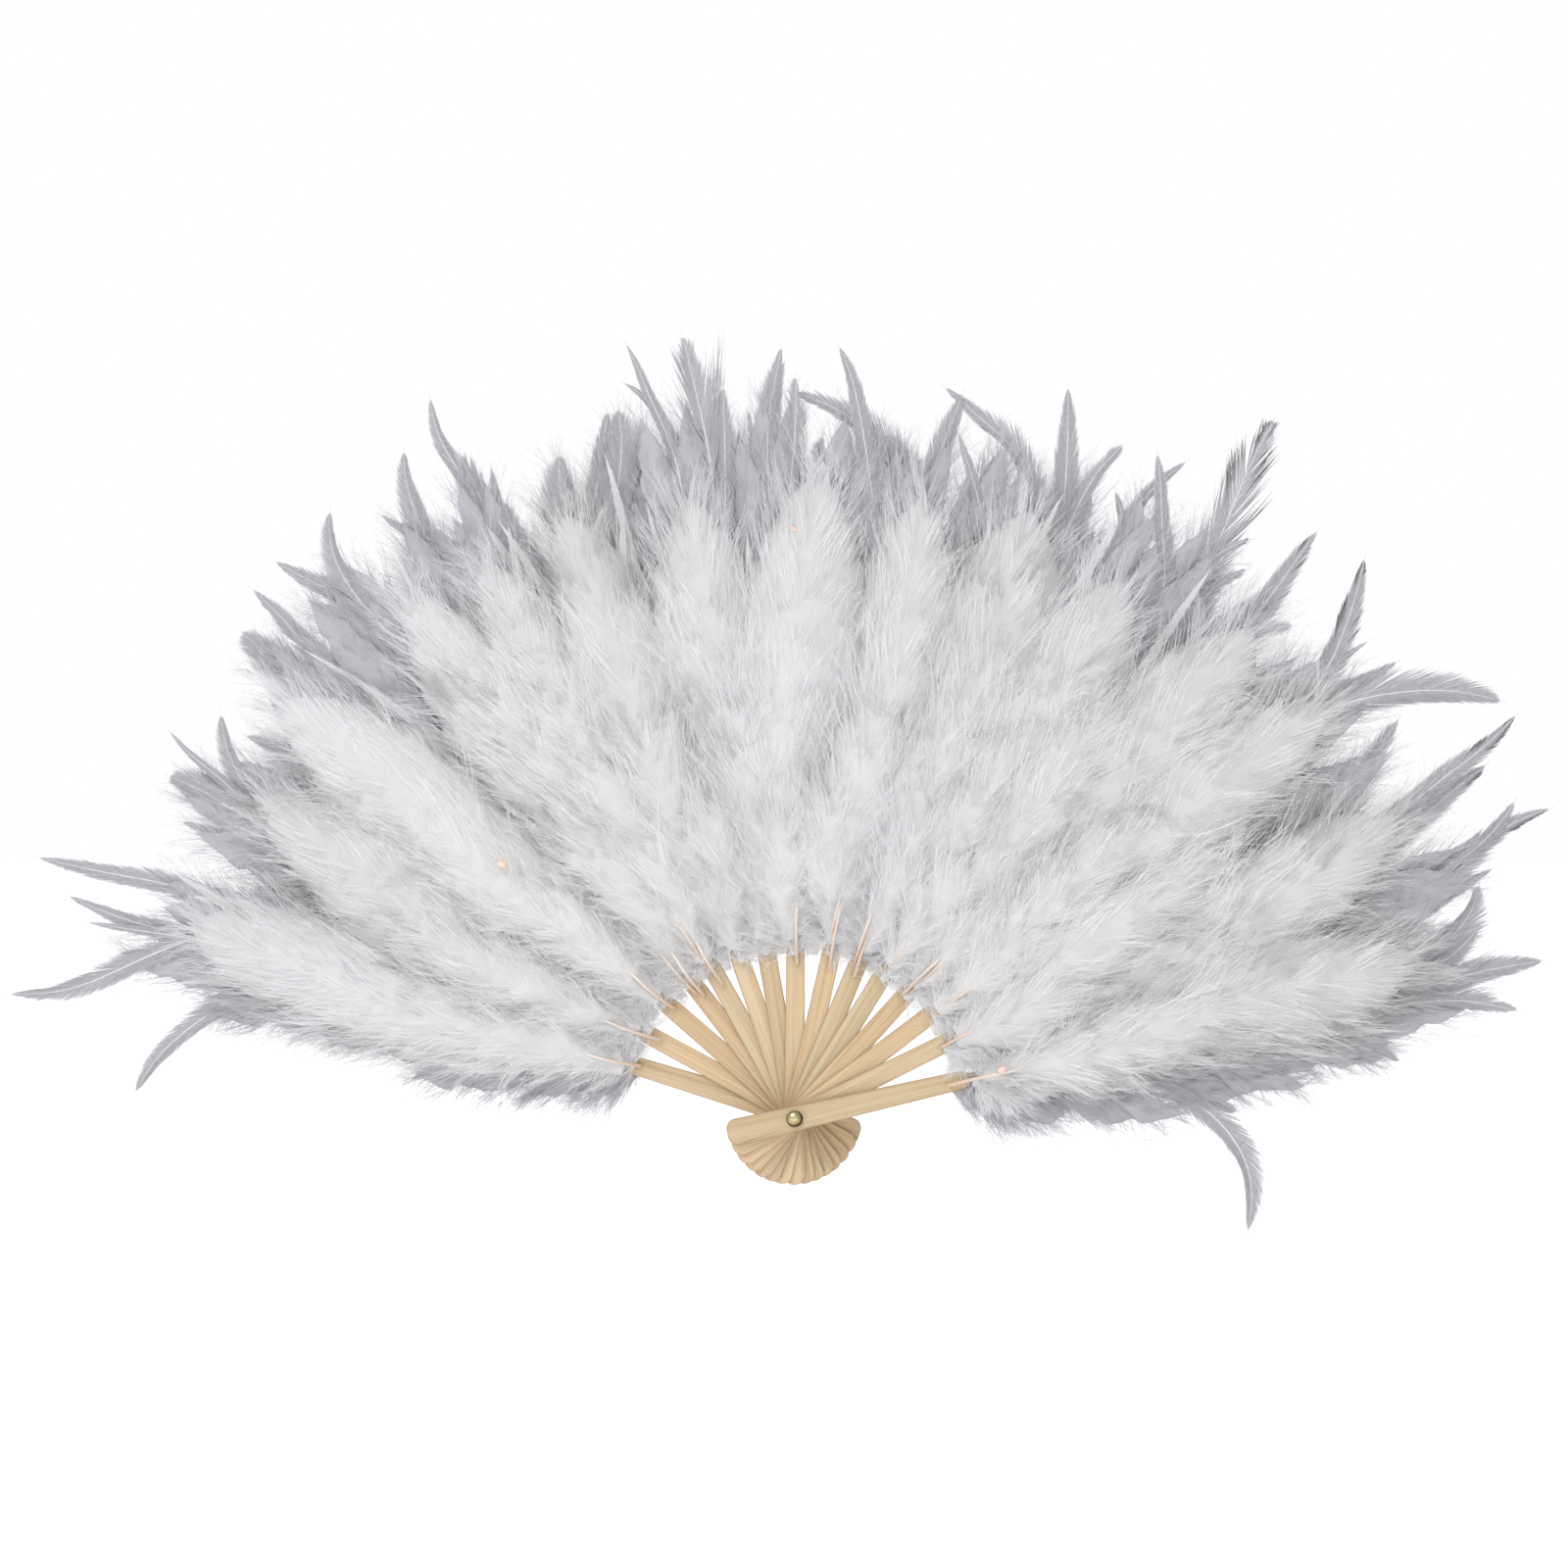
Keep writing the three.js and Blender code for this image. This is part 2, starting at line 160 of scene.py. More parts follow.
# The feathers of each stave, from the rear guard to the front guard.
HACKLES = (
    (
        Hackle(((-3.2, -20), (-3.3, 5), (-2.4, 25), (-1.8, 46)), 6.3, ragged=0.2),
        Hackle(((-0.1, -14), (0.7, 9), (0.5, 23), (0.1, 34)), 5.7, ragged=0.3),
        Hackle(((0.5, -8), (1.3, 12), (1.7, 26)), 3.4, blunt=0.1, ragged=0.3),
        Hackle(((0.2, -8), (3.5, 7), (5.7, 17), (7.3, 27), (8.2, 44)), 7.1, ragged=0.25),
        Hackle(((2.8, -37), (6.7, -17), (9.2, -9), (12.1, -1), (15.4, 5)), 5.7, blunt=0.3, ragged=0.1),
    ),
    (
        Hackle(((-0.4, -14), (-1.9, 7), (-2.2, 16), (-3.1, 26)), 3.1, blunt=0.1),
        Hackle(((0.7, -25), (0.1, -5), (-0.1, 9), (0.2, 20)), 10.8, blunt=0.9, ragged=0.1),
        Hackle(((-0.9, -16), (-2.8, 1), (-4.4, 9), (-6.6, 16)), 6.6, blunt=0.25),
        Hackle(((-4.5, -33), (-6.4, -16), (-6.7, -5), (-5.9, 7)), 8, blunt=0.05, ragged=0.5),
        Hackle(((2, -21), (2.8, 0), (3.2, 11)), 5.1, blunt=0.5, ragged=0.8),
    ),
    (
        Hackle(((-0.5, -26), (-0.4, 0), (-0.2, 15), (-0.2, 27)), 11.4, blunt=1, ragged=0.15),
        Hackle(((-2.1, -14), (-2.9, 8), (-3.2, 21), (-3.2, 33)), 7.4, ragged=0.25),
        Hackle(((-9.2, -12), (-7.8, 13), (-6.5, 25), (-5.8, 34)), 6.8, blunt=0.2, ragged=0.2),
    ),
    (
        Hackle(((2.4, -4), (2.2, 18), (1.1, 28), (-0.4, 34)), 6.8, blunt=0.35, ragged=0.05),
        Hackle(((-9.8, -13), (-5.6, 9), (-3.5, 19), (-3, 25)), 4.3, blunt=0.3, ragged=0.1),
        Hackle(((-4.9, 0), (-5.5, 19), (-6.1, 28), (-7.4, 37)), 7.7, blunt=0.25, ragged=0.1),
    ),
    (
        Hackle(((-1.4, 0), (-1.9, 19), (-1.4, 31), (-1.6, 38), (-2.4, 47)), 6, blunt=0.1, ragged=0.1),
        Hackle(((-2.6, -5), (-2.2, 15), (-2.4, 28)), 9.7, blunt=0.6, ragged=0.8),
        Hackle(((-2.6, -2), (-3.6, 14), (-4.2, 21)), 5.1, blunt=0.1, ragged=0.2),
        Hackle(((-3, -15), (-3.5, 0), (-3.9, 10)), 6.8, blunt=0.6, ragged=0.4),
    ),
    (
        Hackle(((2.5, -12), (1.1, 8), (0.3, 16)), 10.8, blunt=0.7, ragged=0.2),
        Hackle(((-1.6, -19), (-3.4, 0), (-4.9, 13), (-5.2, 24)), 12, blunt=0.6, ragged=0.15),
        Hackle(((0.8, -14), (-2.4, 7), (-4.5, 24)), 6.3, blunt=0.4, ragged=0.2),
    ),
    (
        Hackle(((0.8, -16), (0.5, 4), (1.1, 16), (1.8, 25), (2.1, 34), (2.7, 42)), 4.3),
        Hackle(((-0.1, -9), (0.6, 10), (1.6, 22), (2.5, 27), (3.7, 31)), 4.8, blunt=0.05, ragged=0.1),
        Hackle(((-2, -17), (-2.4, 3), (-2.1, 17), (-1.8, 29), (-1.5, 41)), 13.1, blunt=0.65, ragged=1),
        Hackle(((-3.1, -15), (-3.8, 8), (-4.1, 25)), 5.7, blunt=0.4, ragged=0.9),
    ),
    (
        Hackle(((3.1, -7), (3.9, 10), (4.1, 18)), 3.4, blunt=0.2, ragged=0.1),
        Hackle(((2.3, -19), (2.7, 1), (2.4, 15), (1.7, 27), (1.2, 36)), 8.8, blunt=0.05, ragged=0.2),
        Hackle(((0.8, -10), (0.2, 12), (0.2, 27)), 6.8, blunt=0.5, ragged=0.9),
        Hackle(((0.4, -16), (-1.3, 1), (-2.2, 10)), 7.4, blunt=0.5, ragged=1),
    ),
    (
        Hackle(((5.6, -6), (7.1, 13), (7.8, 22), (8.6, 30), (9.5, 36)), 6, blunt=0.1, ragged=0.05),
        Hackle(((2, -13), (3.8, 3), (6.2, 11), (8.7, 16), (11.1, 20), (13.4, 22)), 7.7, ragged=0.4),
        Hackle(((1.4, -16), (3.4, 1), (5.2, 12)), 12.5, blunt=0.7, ragged=0.2),
    ),
    (
        Hackle(((9.6, -12), (10, 9), (9.6, 18), (9.3, 28)), 7.1, blunt=0.35, ragged=0.05),
        Hackle(((-0.1, -5), (2.5, 10), (4.3, 16), (6.6, 19), (9, 24), (11.1, 28)), 6.6, ragged=0.35),
        Hackle(((-2.5, -8), (-0.4, 14), (1, 28), (2, 38)), 8.3, blunt=0.05, ragged=0.15),
        Hackle(((4.5, -10), (7.2, 5), (9.2, 16)), 4, blunt=0.1, ragged=0.3),
    ),
    (
        Hackle(((7, -1), (7, 13), (6.5, 22), (5.7, 29)), 6, blunt=0.8, ragged=0.8),
        Hackle(((1.2, -1), (3.6, 11), (5, 16)), 4.3, blunt=0.4, ragged=0.1),
        Hackle(((-2.7, 0), (0.4, 14), (2.1, 24), (3.5, 31)), 5.1, blunt=0.25, ragged=0.2),
        Hackle(((2.4, 0), (2.7, 14), (1.6, 27), (0.9, 34)), 4.3, blunt=0.25, ragged=0.2),
        Hackle(
            ((-6.3, -8), (-5, 6), (-4.3, 22), (-3.4, 34), (-2.8, 48), (-2.6, 58)), 12.5,
            blunt=0.35, ragged=1, soot=1.2,
        ),
        Hackle(((-4.5, 1), (-5, 16), (-6.5, 25)), 5.1, blunt=0.5, ragged=1, soot=0.4),
    ),
    (
        Hackle(((-0.8, -11), (-0.4, 6), (-0.2, 17), (0.2, 27), (0.5, 40)), 8.8, ragged=0.3, soot=0.3),
        Hackle(((-0.1, -13), (-0.6, 0), (-1.9, 8), (-3.5, 15)), 7.1, blunt=0.9, ragged=0.7, soot=0.2),
        Hackle(((4, -8), (3.9, 7), (2.5, 18)), 5.4, blunt=0.6, ragged=0.9),
        Hackle(((-8.8, 0), (-7.4, 15), (-6.1, 24), (-4.5, 35), (-3.1, 43)), 8.5, ragged=0.1, soot=1),
    ),
    (
        Hackle(((3, 0), (2.8, 18), (2.5, 28)), 4.3, blunt=0.2, ragged=0.5),
        Hackle(((1.1, 2), (0.2, 21), (-0.1, 31)), 5.1, blunt=0.3, ragged=0.5),
        Hackle(((0.8, -2), (-0.7, 15), (-2.5, 28), (-4.6, 40), (-6.9, 49)), 10, blunt=0.3, ragged=0.15),
        Hackle(((-7.3, -13), (-6, 3), (-4.8, 12), (-3.6, 22)), 8.8, blunt=0.4, ragged=0.9),
    ),
    (
        Hackle(((-0.7, -7), (0.5, 11), (1.2, 22), (1.7, 36), (2.8, 51)), 6.6, ragged=0.2, soot=0.7),
        Hackle(((-1.8, -5), (-0.6, 16), (0.1, 26), (0.6, 37)), 7.1, blunt=0.3, ragged=0.3, soot=0.3),
        Hackle(
            ((-6.6, -5), (-5.4, 14), (-4.8, 24), (-4.1, 38), (-4.3, 49)), 6.6,
            blunt=0.05, ragged=0.3, soot=0.2,
        ),
        Hackle(((-6.5, -2), (-5.1, 21), (-4, 32), (-2.6, 40)), 8.5, blunt=0.2, ragged=0.5),
        Hackle(((-10.1, -18), (-8.3, 2), (-7.4, 15), (-6.8, 27)), 5.4, blunt=0.1, ragged=0.3),
    ),
    (
        Hackle(((0.9, -11), (2.3, 8), (3.9, 16), (6.1, 21)), 9.4, blunt=0.7, ragged=0.3),
        Hackle(((-0.5, -18), (0.4, 2), (1.4, 10), (3.1, 18)), 6.6, blunt=0.2, ragged=0.4),
        Hackle(((-1.9, -19), (-1, 5), (-0.9, 20), (-1.1, 33)), 7.7, blunt=0.35, ragged=0.1),
        Hackle(((-2.3, -16), (-2.6, 1), (-3.4, 12), (-4.6, 23)), 8.8, blunt=0.05, ragged=0.7),
        Hackle(((-3, -34), (-5.9, -21), (-7.8, -13)), 4.8, blunt=0.3, ragged=0.3),
        Hackle(((-2.3, -37), (-3.8, -20), (-4.6, -10)), 9.1, blunt=0.7, ragged=1),
    ),
)

# The pair that droops below the front guard.
DROOPING = (
    Hackle(
        ((-4.8, -90), (-10.1, -75), (-14.3, -65), (-17.9, -59), (-22.7, -55), (-27.5, -54)), 7.4,
        ragged=0.15,
    ),
    Hackle(((-6, -84), (-10.2, -69), (-12.3, -61)), 5.1, blunt=0.2, ragged=0.6),
)

# How far each grey downy feather behind the plumes reaches, right to left, in mm from the rivet.
FRINGE_REACH = (
    (176, 202, 200, 206, 208, 180),
    (189, 200, 208, 208, 199, 176),
    (212, 207, 213, 212, 190, 189),
    (212, 206, 203, 213, 210, 212),
    (190, 209, 214, 208, 208, 212),
    (211, 205, 200, 206, 198, 190),
    (203, 213, 216, 208, 212, 211),
    (206, 210, 190, 214, 213, 203),
    (210, 203, 205, 199, 203, 206),
    (195, 208, 212, 205, 206, 210),
    (211, 213, 206, 212, 212, 195),
    (200, 190, 208, 207, 200, 211),
    (205, 189, 212, 212, 212, 200),
    (212, 213, 199, 212, 194, 205),
    (180, 206, 208, 203, 197, 212),
)

# Which way lies outward at each guard: 1 to the left, -1 to the right.
OUTER_SIDE = {0: 1, len(STAVES) - 1: -1}

# The grey feathers that hem each guard's outer side: degrees outward, mm from the rivet, with
# their length and the nearest that they start to the rivet in mm.
HEM_LENGTH = 60
HEM_BASE = 46
HEMS = {
    0: ((9.5, 66), (11.5, 82), (12.2, 98), (10.8, 114), (6.2, 132), (6.2, 154), (7.0, 176)),
    len(STAVES) - 1: ((11, 66), (12, 80), (11, 96), (12.4, 114), (10, 132), (9.4, 150), (7.2, 174)),
}

# Cut quill ends in the down, by stave: degrees off it, mm from the rivet, mm forward, mm thick.
QUILL_ENDS = {3: (-0.4, 112.4, 12.6, 1.0), 8: (0.1, 171, 8.6, 0.6), 15: (0.5, 61.5, 7.8, 1.0)}


def mesh_points(item):
    """The vertices of a mesh object, one row each."""
    flat = np.empty(3 * len(item.data.vertices))
    item.data.vertices.foreach_get("co", flat)
    return flat.reshape(-1, 3)


class Stave:
    """Where one stave lies in the open fan, read from its solid."""

    def __init__(self, number):
        self.number = number
        self.body = STAVES[number]
        places = mesh_points(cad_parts[self.body])
        reach = np.hypot(places[:, 0], places[:, 2])
        tip = places[reach.argmax()]
        self.rib_reach = float(reach.max())
        self.angle = math.atan2(tip[2], tip[0])
        self.back = float(-places[:, 1].max())
        self.front = float(-places[:, 1].min())
        plume = mesh_points(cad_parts[self.node("marabou_plume")])
        self.plume_reach = float(np.hypot(plume[:, 0], plume[:, 2]).max())

    def node(self, kind):
        return f"{kind}_{self.number + 1:02d}"

    def world(self, places):
        """Points on the stave's axes as points in the fan's frame."""
        along, across, forward = np.moveaxis(places, -1, 0)
        x = along * math.cos(self.angle) - across * math.sin(self.angle)
        z = along * math.sin(self.angle) + across * math.cos(self.angle)
        return np.stack([x, -forward, z], -1)


FAN = [Stave(number) for number in range(len(STAVES))]


def half_bay(stave, side, outer):
    """Half the angle to the neighbour on one side, or the outer angle past a guard."""
    neighbour = stave.number - side
    if 0 <= neighbour < len(FAN):
        return abs(FAN[neighbour].angle - stave.angle) / 2
    return outer


class Pile:
    """Strips, tubes and webs gathered into one mesh, with a map that holds their shading."""

    def __init__(self):
        self.places = []
        self.quads = []
        self.maps = []
        self.slots = []
        self.count = 0

    def grid(self, places, chart, slot, closed=False):
        """Adds rows by columns of points, repeated along the first axis, as quads."""
        sheets, rows, columns = places.shape[:3]
        ids = self.count + np.arange(sheets * rows * columns).reshape(sheets, rows, columns)
        beside = np.roll(ids, -1, axis=2) if closed else ids[:, :, 1:]
        here = ids if closed else ids[:, :, :-1]
        quads = np.stack([here[:, :-1], beside[:, :-1], beside[:, 1:], here[:, 1:]], -1)
        self.places.append(places.reshape(-1, 3))
        self.maps.append(np.broadcast_to(chart, (*places.shape[:3], 2)).reshape(-1, 2))
        self.quads.append(quads.reshape(-1, 4))
        self.slots.append(np.full(quads.size // 4, slot))
        self.count += sheets * rows * columns

    def strips(self, path, across, shade, shade_width, slot):
        """Adds flat strips along paths, with half widths across, charted by shade and length."""
        places = np.stack([path - across, path + across], 2)
        chart = np.empty((*places.shape[:3], 2))
        chart[..., 0] = shade[:, None, None] + shade_width * np.array([-0.5, 0.5])
        chart[..., 1] = np.linspace(*STRAND_RUN, path.shape[1])[None, :, None]
        self.grid(places, chart, slot)

    def tube(self, path, radii, sides, slot):
        """Adds a round tube along one path, with a radius at each of its points."""
        _, left, front = axes_along(path)
        turn = np.linspace(0, WHOLE_TURN, sides, endpoint=False)
        ring = turned(left[:, None], front[:, None], turn[None])
        places = path[:, None] + ring * radii[:, None, None]
        chart = np.empty((1, *places.shape[:2], 2))
        chart[..., 0] = 0.5 + 0.45 * np.cos(turn)
        chart[..., 1] = np.linspace(*STRAND_RUN, len(path))[:, None]
        self.grid(places[None], chart, slot, closed=True)

    def build(self, name, materials, stave):
        """Makes the object, in the fan's frame, with its materials and its shading map."""
        places = np.concatenate(self.places)
        behind = np.maximum(REAR_LIMIT + REAR_EASING - places[:, 2], 0)
        places[:, 2] += behind - REAR_EASING * np.tanh(behind / REAR_EASING)
        places = stave.world(places)
        quads = np.concatenate(self.quads)
        mesh = bpy.data.meshes.new(name)
        mesh.vertices.add(len(places))
        mesh.vertices.foreach_set("co", places.ravel())
        mesh.loops.add(quads.size)
        mesh.loops.foreach_set("vertex_index", quads.ravel().astype(np.int32))
        mesh.polygons.add(len(quads))
        mesh.polygons.foreach_set("loop_start", np.arange(0, quads.size, 4, dtype=np.int32))
        mesh.polygons.foreach_set("material_index", np.concatenate(self.slots).astype(np.int32))
        mesh.polygons.foreach_set("use_smooth", np.ones(len(quads), bool))
        chart = np.concatenate(self.maps)[quads.ravel()]
        layer = mesh.uv_layers.new(name=STRAND_MAP)
        layer.uv.foreach_set("vector", chart.ravel().astype(np.float32))
        mesh.update(calc_edges=True)
        for material in materials:
            mesh.materials.append(material)
        piece = bpy.data.objects.new(name, mesh)
        bpy.context.scene.collection.objects.link(piece)
        return piece


def unit(vectors):
    return vectors / np.maximum(np.linalg.norm(vectors, axis=-1, keepdims=True), 1e-12)


def path_length(path):
    return float(np.linalg.norm(np.diff(path, axis=0), axis=1).sum())


def turned(way, towards, angle):
    """A direction turned by an angle towards one that is square to it."""
    return np.cos(angle)[..., None] * way + np.sin(angle)[..., None] * towards


def axes_along(path):
    """The direction of a path, its left and its front, at each point."""
    tangent = unit(np.gradient(path, axis=0))
    left = unit(np.cross(FORWARD, tangent))
    return tangent, left, np.cross(tangent, left)


def split_share(share, points):
    """The point that comes before each share of a row of points, and the part of a step past it."""
    at = share * (points - 1)
    low = np.minimum(at.astype(int), points - 2)
    return low, (at - low)[:, None]


def sample(rows, share):
    """Rows of numbers read at shares from 0 to 1 along them."""
    low, part = split_share(share, len(rows))
    return rows[low] * (1 - part) + rows[low + 1] * part


def grown(start, first, last, length, curl, points):
    """Strands that set out along first and bend towards last, with their directions."""
    steps = np.linspace(0, 1, points)[None, :, None]
    ways = unit(first[:, None] * (1 - steps) + last[:, None] * steps + curl[:, None] * steps**2)
    strides = (ways[:, 1:] + ways[:, :-1]) / 2 * (length / (points - 1))[:, None, None]
    path = np.concatenate([np.zeros_like(ways[:, :1]), np.cumsum(strides, axis=1)], 1)
    return start[:, None] + path, ways


def broad_side(ways, facing, spin):
    """A strip's way across, and the way it looks: square to its course, outward and spun a little."""
    facing = unit(facing[:, None] - ways * np.sum(facing[:, None] * ways, -1, keepdims=True))
    facing = turned(facing, np.cross(ways, facing), spin[:, None])
    return np.cross(ways, facing), facing


class Plumage(NamedTuple):
    """How one downy feather grows: its shaft, its soft body, and the barbs that lie on it.

    Its tone is a share of the map's shades. Its valley shade paints shade on its edges, where it meets
    its neighbours; fade darkens its tip and root its root, and locks is how much its tufts differ.
    """

    path: np.ndarray
    half_width: float
    crown: float
    keel: float
    barbs: int
    length: float
    open_angle: float
    close_angle: float
    slot: int = 0
    tone: float = 0.6
    behind: float = 0.2
    # Painted shade on the feather's edges, where it meets its neighbours in a valley.
    valley_shade: float = 0.0
    fade: float = 0.0
    warm: bool = False
    clump: float = 1.0
    barbules: int = 4
    strays: float = 0.06
    locks: float = 0.2
    root: float = 0.0

    def shade(self, share, edge):
        """How light the feather is, from its crown to its edges, its root and its tip."""
        root = np.clip(1 - share / ROOT_SHARE, 0, 1)
        tip = np.clip(share / 0.45 - 1.2, 0, 1) ** 1.4
        # Painted shade on the edges is deepest a little past the middle, and hardly any at both ends.
        depth = 0.1 + 8.5 * share**2 * (1 - share) ** 1.6
        return self.tone - self.valley_shade * depth * edge**2 - self.root * root - self.fade * tip

    def chart(self, shade):
        """Where a shade lies on the map: cool feathers in its left half, warm ones in its right."""
        return 0.01 + 0.47 * np.clip(shade, 0, 1) + 0.5 * self.warm


class Body:
    """A feather's soft body: a flat pod along the shaft, ridged the way its barbs lie."""

    def __init__(self, rng, feather):
        self.feather = feather
        self.axes = (feather.path, *axes_along(feather.path))
        self.long = path_length(feather.path)
        self.waves = [(size * MM, rng.uniform(0, WAVE, 2)) for size in RIDGES]
        self.sway = rng.uniform(0, WAVE, 2)

    def at(self, share, turn):
        """The places and outward directions of the body's skin at shares along and turns round."""
        feather = self.feather
        path, ahead, beside, before = (sample(rows, share) for rows in self.axes)
        side, rise = np.cos(turn), np.sin(turn)
        left = (side > 0).astype(int)
        round_root = np.clip(0.22 + 1.5 * share, 0, 1)
        round_tip = np.clip(1 - (share / 0.985) ** 6.5, 0, 1) ** 0.85
        fill = round_root * round_tip
        uneven = 1 + 0.14 * np.sin(9 * share + self.sway[left])
        wide = feather.half_width * fill * uneven
        high = np.where(rise > 0, feather.crown, feather.keel) * fill**0.7
        swept = share * self.long - 1.3 * np.abs(side) * wide
        ridge = sum(
            0.045 * size * np.sin(swept / size * WAVE + phases[left]) for size, phases in self.waves
        )
        high = high * (1 + ridge / feather.crown)
        wide = wide * (1 + ridge / feather.half_width)
        place = path + (side * wide)[:, None] * beside + (rise * high)[:, None] * before
        across = (side / np.maximum(wide, LEAST_HALF))[:, None] * beside
        outward = unit(across + (rise / np.maximum(np.abs(high), LEAST_HALF))[:, None] * before)
        return place, outward, ahead, beside

    def skin(self, pile, slot, rows=56, ring=20):
        """Adds the body itself."""
        share = np.linspace(0.0, 1, rows)
        turn = np.linspace(0, WHOLE_TURN, ring, endpoint=False)
        places, _, _, _ = self.at(share.repeat(ring), np.tile(turn, rows))
        chart = np.empty((1, rows, ring, 2))
        edge = np.abs(np.cos(turn))
        # The rim gets painted shade, and more so towards the tip.
        rim = 0.3 * (0.4 + 0.6 * share[:, None]) * edge**4
        chart[..., 0] = self.feather.chart(self.feather.shade(share[:, None], edge) - rim)
        chart[..., 1] = 0.4 + 0.3 * share[:, None]
        pile.grid(places.reshape(1, rows, ring, 3), chart, slot, closed=True)


def grow_feather(pile, rng, feather, look):
    """Adds a downy feather: its body, the barbs over it, and the fine barbules on each of them."""
    body = Body(rng, feather)
    body.skin(pile, feather.slot)
    count = feather.barbs
    share = np.sort(rng.random(count) ** 0.8) * 0.98
    turn = np.where(
        rng.random(count) < feather.behind, rng.uniform(math.pi, WHOLE_TURN, count),
        rng.uniform(0, math.pi, count),
    )
    start, outward, ahead, beside = body.at(share, turn)
    tuft = (share * TUFT_ROWS).astype(int) * TUFT_SIDES + (turn / WHOLE_TURN * TUFT_SIDES).astype(int)
    edge = np.abs(np.cos(turn))
    side = np.sign(np.cos(turn))[:, None]
    # Barbs splay most at the feather's edges, tuft by tuft, and bend back along the shaft.
    angle = feather.open_angle + (feather.close_angle - feather.open_angle) * share**0.7
    splay = 1 + by_tuft(rng, tuft, TUFT_SPLAY)
    angle = angle * (0.45 + 0.6 * edge) * splay * (1 + rng.normal(0, BARB_SPLAY, count))
    out = unit(0.75 * side * beside + (0.3 + rng.normal(0, BARB_SPLAY, count))[:, None] * outward)
    first = turned(ahead, out, angle)
    first = unit(first + (0.1 + by_tuft(rng, tuft, 0.05))[:, None] * outward)
    bend = (0.45 + by_tuft(rng, tuft, 0.2))[:, None]
    last = unit(first * (1 - bend) + (ahead - 0.12 * outward) * bend)
    # They are longest near the middle and at the edges, and a few strays stand out of the rest.
    swell = 0.7 + 0.3 * np.sin(math.pi * (0.1 + 0.75 * share))
    stray = np.where(rng.random(count) < feather.strays, 1.6, 1.0)
    length = feather.length * swell * (0.75 + 0.35 * edge) * rng.uniform(0.6, 1.1, count) * stray
    curl = np.stack([by_tuft(rng, tuft, look.barb_curl) for _ in range(3)], -1)
    curl = curl + (0.35 * stray * look.barb_curl)[:, None] * rng.normal(0, 1, (count, 3))
    path, _ = grown(start, first, last, length, curl, look.barb_points)
    # The ends of a tuft's barbs draw together, less so near the feather's tip.
    drawn = feather.clump * look.clump * (1 - 0.75 * share**2)[:, None]
    gather = drawn * (tuft_mean(tuft, path[:, -1]) - path[:, -1])
    path = path + gather[:, None] * np.linspace(0, 1, look.barb_points)[None, :, None] ** 1.5
    ways = unit(np.gradient(path, axis=1))
    across, facing = broad_side(ways, outward, rng.normal(0, 0.1, count))
    taper = np.linspace(1, 0.1, look.barb_points)[None, :, None]
    # Each tuft is a lock with a shade of its own, and strays catch more light.
    lock = by_tuft(rng, tuft, feather.locks) * (0.5 + 0.5 * np.sin(math.pi * share))
    shade = feather.shade(share, edge) + lock + rng.normal(0, BARB_SHADE, count)
    shade = shade + 0.5 * (stray - 1)
    half_width = across * taper * look.barb_width / 2
    pile.strips(path, half_width, feather.chart(shade), shade_width=0.01, slot=feather.slot)
    grow_barbules(pile, rng, path, ways, facing, shade, feather, look)


def by_tuft(rng, tuft, spread):
    """A random amount for each barb, the same for all barbs of a tuft."""
    return rng.normal(0, spread, tuft.max() + 1)[tuft]


def tuft_mean(tuft, rows):
    """The mean row of each barb's tuft."""
    sums = np.stack([np.bincount(tuft, column) for column in rows.T], -1)
    return (sums / np.maximum(np.bincount(tuft), 1)[:, None])[tuft]


def grow_barbules(pile, rng, path, ways, facing, shade, feather, look):
    """Adds fine strands that lean off each barb on both sides."""
    barbs, points = path.shape[:2]
    count = barbs * feather.barbules
    barb = np.repeat(np.arange(barbs), feather.barbules)
    share = rng.uniform(0.04, 0.94, count)
    low, part = split_share(share, points)

    def along_barb(rows):
        return rows[barb, low] * (1 - part) + rows[barb, low + 1] * part

    way, look_out = unit(along_barb(ways)), unit(along_barb(facing))
    side = np.where(rng.random(count) < 0.5, 1.0, -1.0)
    lean = side * rng.normal(look.barbule_lean, 0.2, count)
    beside = np.cross(look_out, way)
    lift = rng.normal(0, 0.2, count)[:, None] * look_out
    first = turned(way, beside, lean) + lift
    last = unit(first + 0.6 * way)
    length = look.barbule_length * rng.uniform(0.5, 1.25, count) * (1 - 0.45 * share)
    strands, headings = grown(along_barb(path), unit(first), last, length, np.zeros((count, 3)), 3)
    across, _ = broad_side(headings, look_out, rng.normal(0, 0.2, count))
    taper = np.array([1, 0.8, 0.25])[None, :, None]
    tone = feather.chart(shade[barb] + rng.normal(0, BARB_SHADE, count))
    half_width = across * taper * look.barbule_width / 2
    pile.strips(strands, half_width, tone, shade_width=0.01, slot=feather.slot)


def feather_path(base, tip, lean, offset, bow, depth, arch, points=40):
    """A marabou feather's shaft: from base to tip along the stave, leaning, bowed and arched."""
    share = np.linspace(0, 1, points)
    along = base + (tip - base) * share
    across = offset + math.tan(lean) * (along - base) + bow * np.sin(math.pi * share)
    forward = depth + arch * np.sin(0.5 * math.pi * share) - 0.6 * arch * share**3
    return np.stack([along, across, forward], -1)


def aimed(base, tip, lean):
    """The angle at which a feather leaves the stave at its base to end at a lean seen from the rivet."""
    return math.atan(tip * math.tan(lean) / (tip - base))


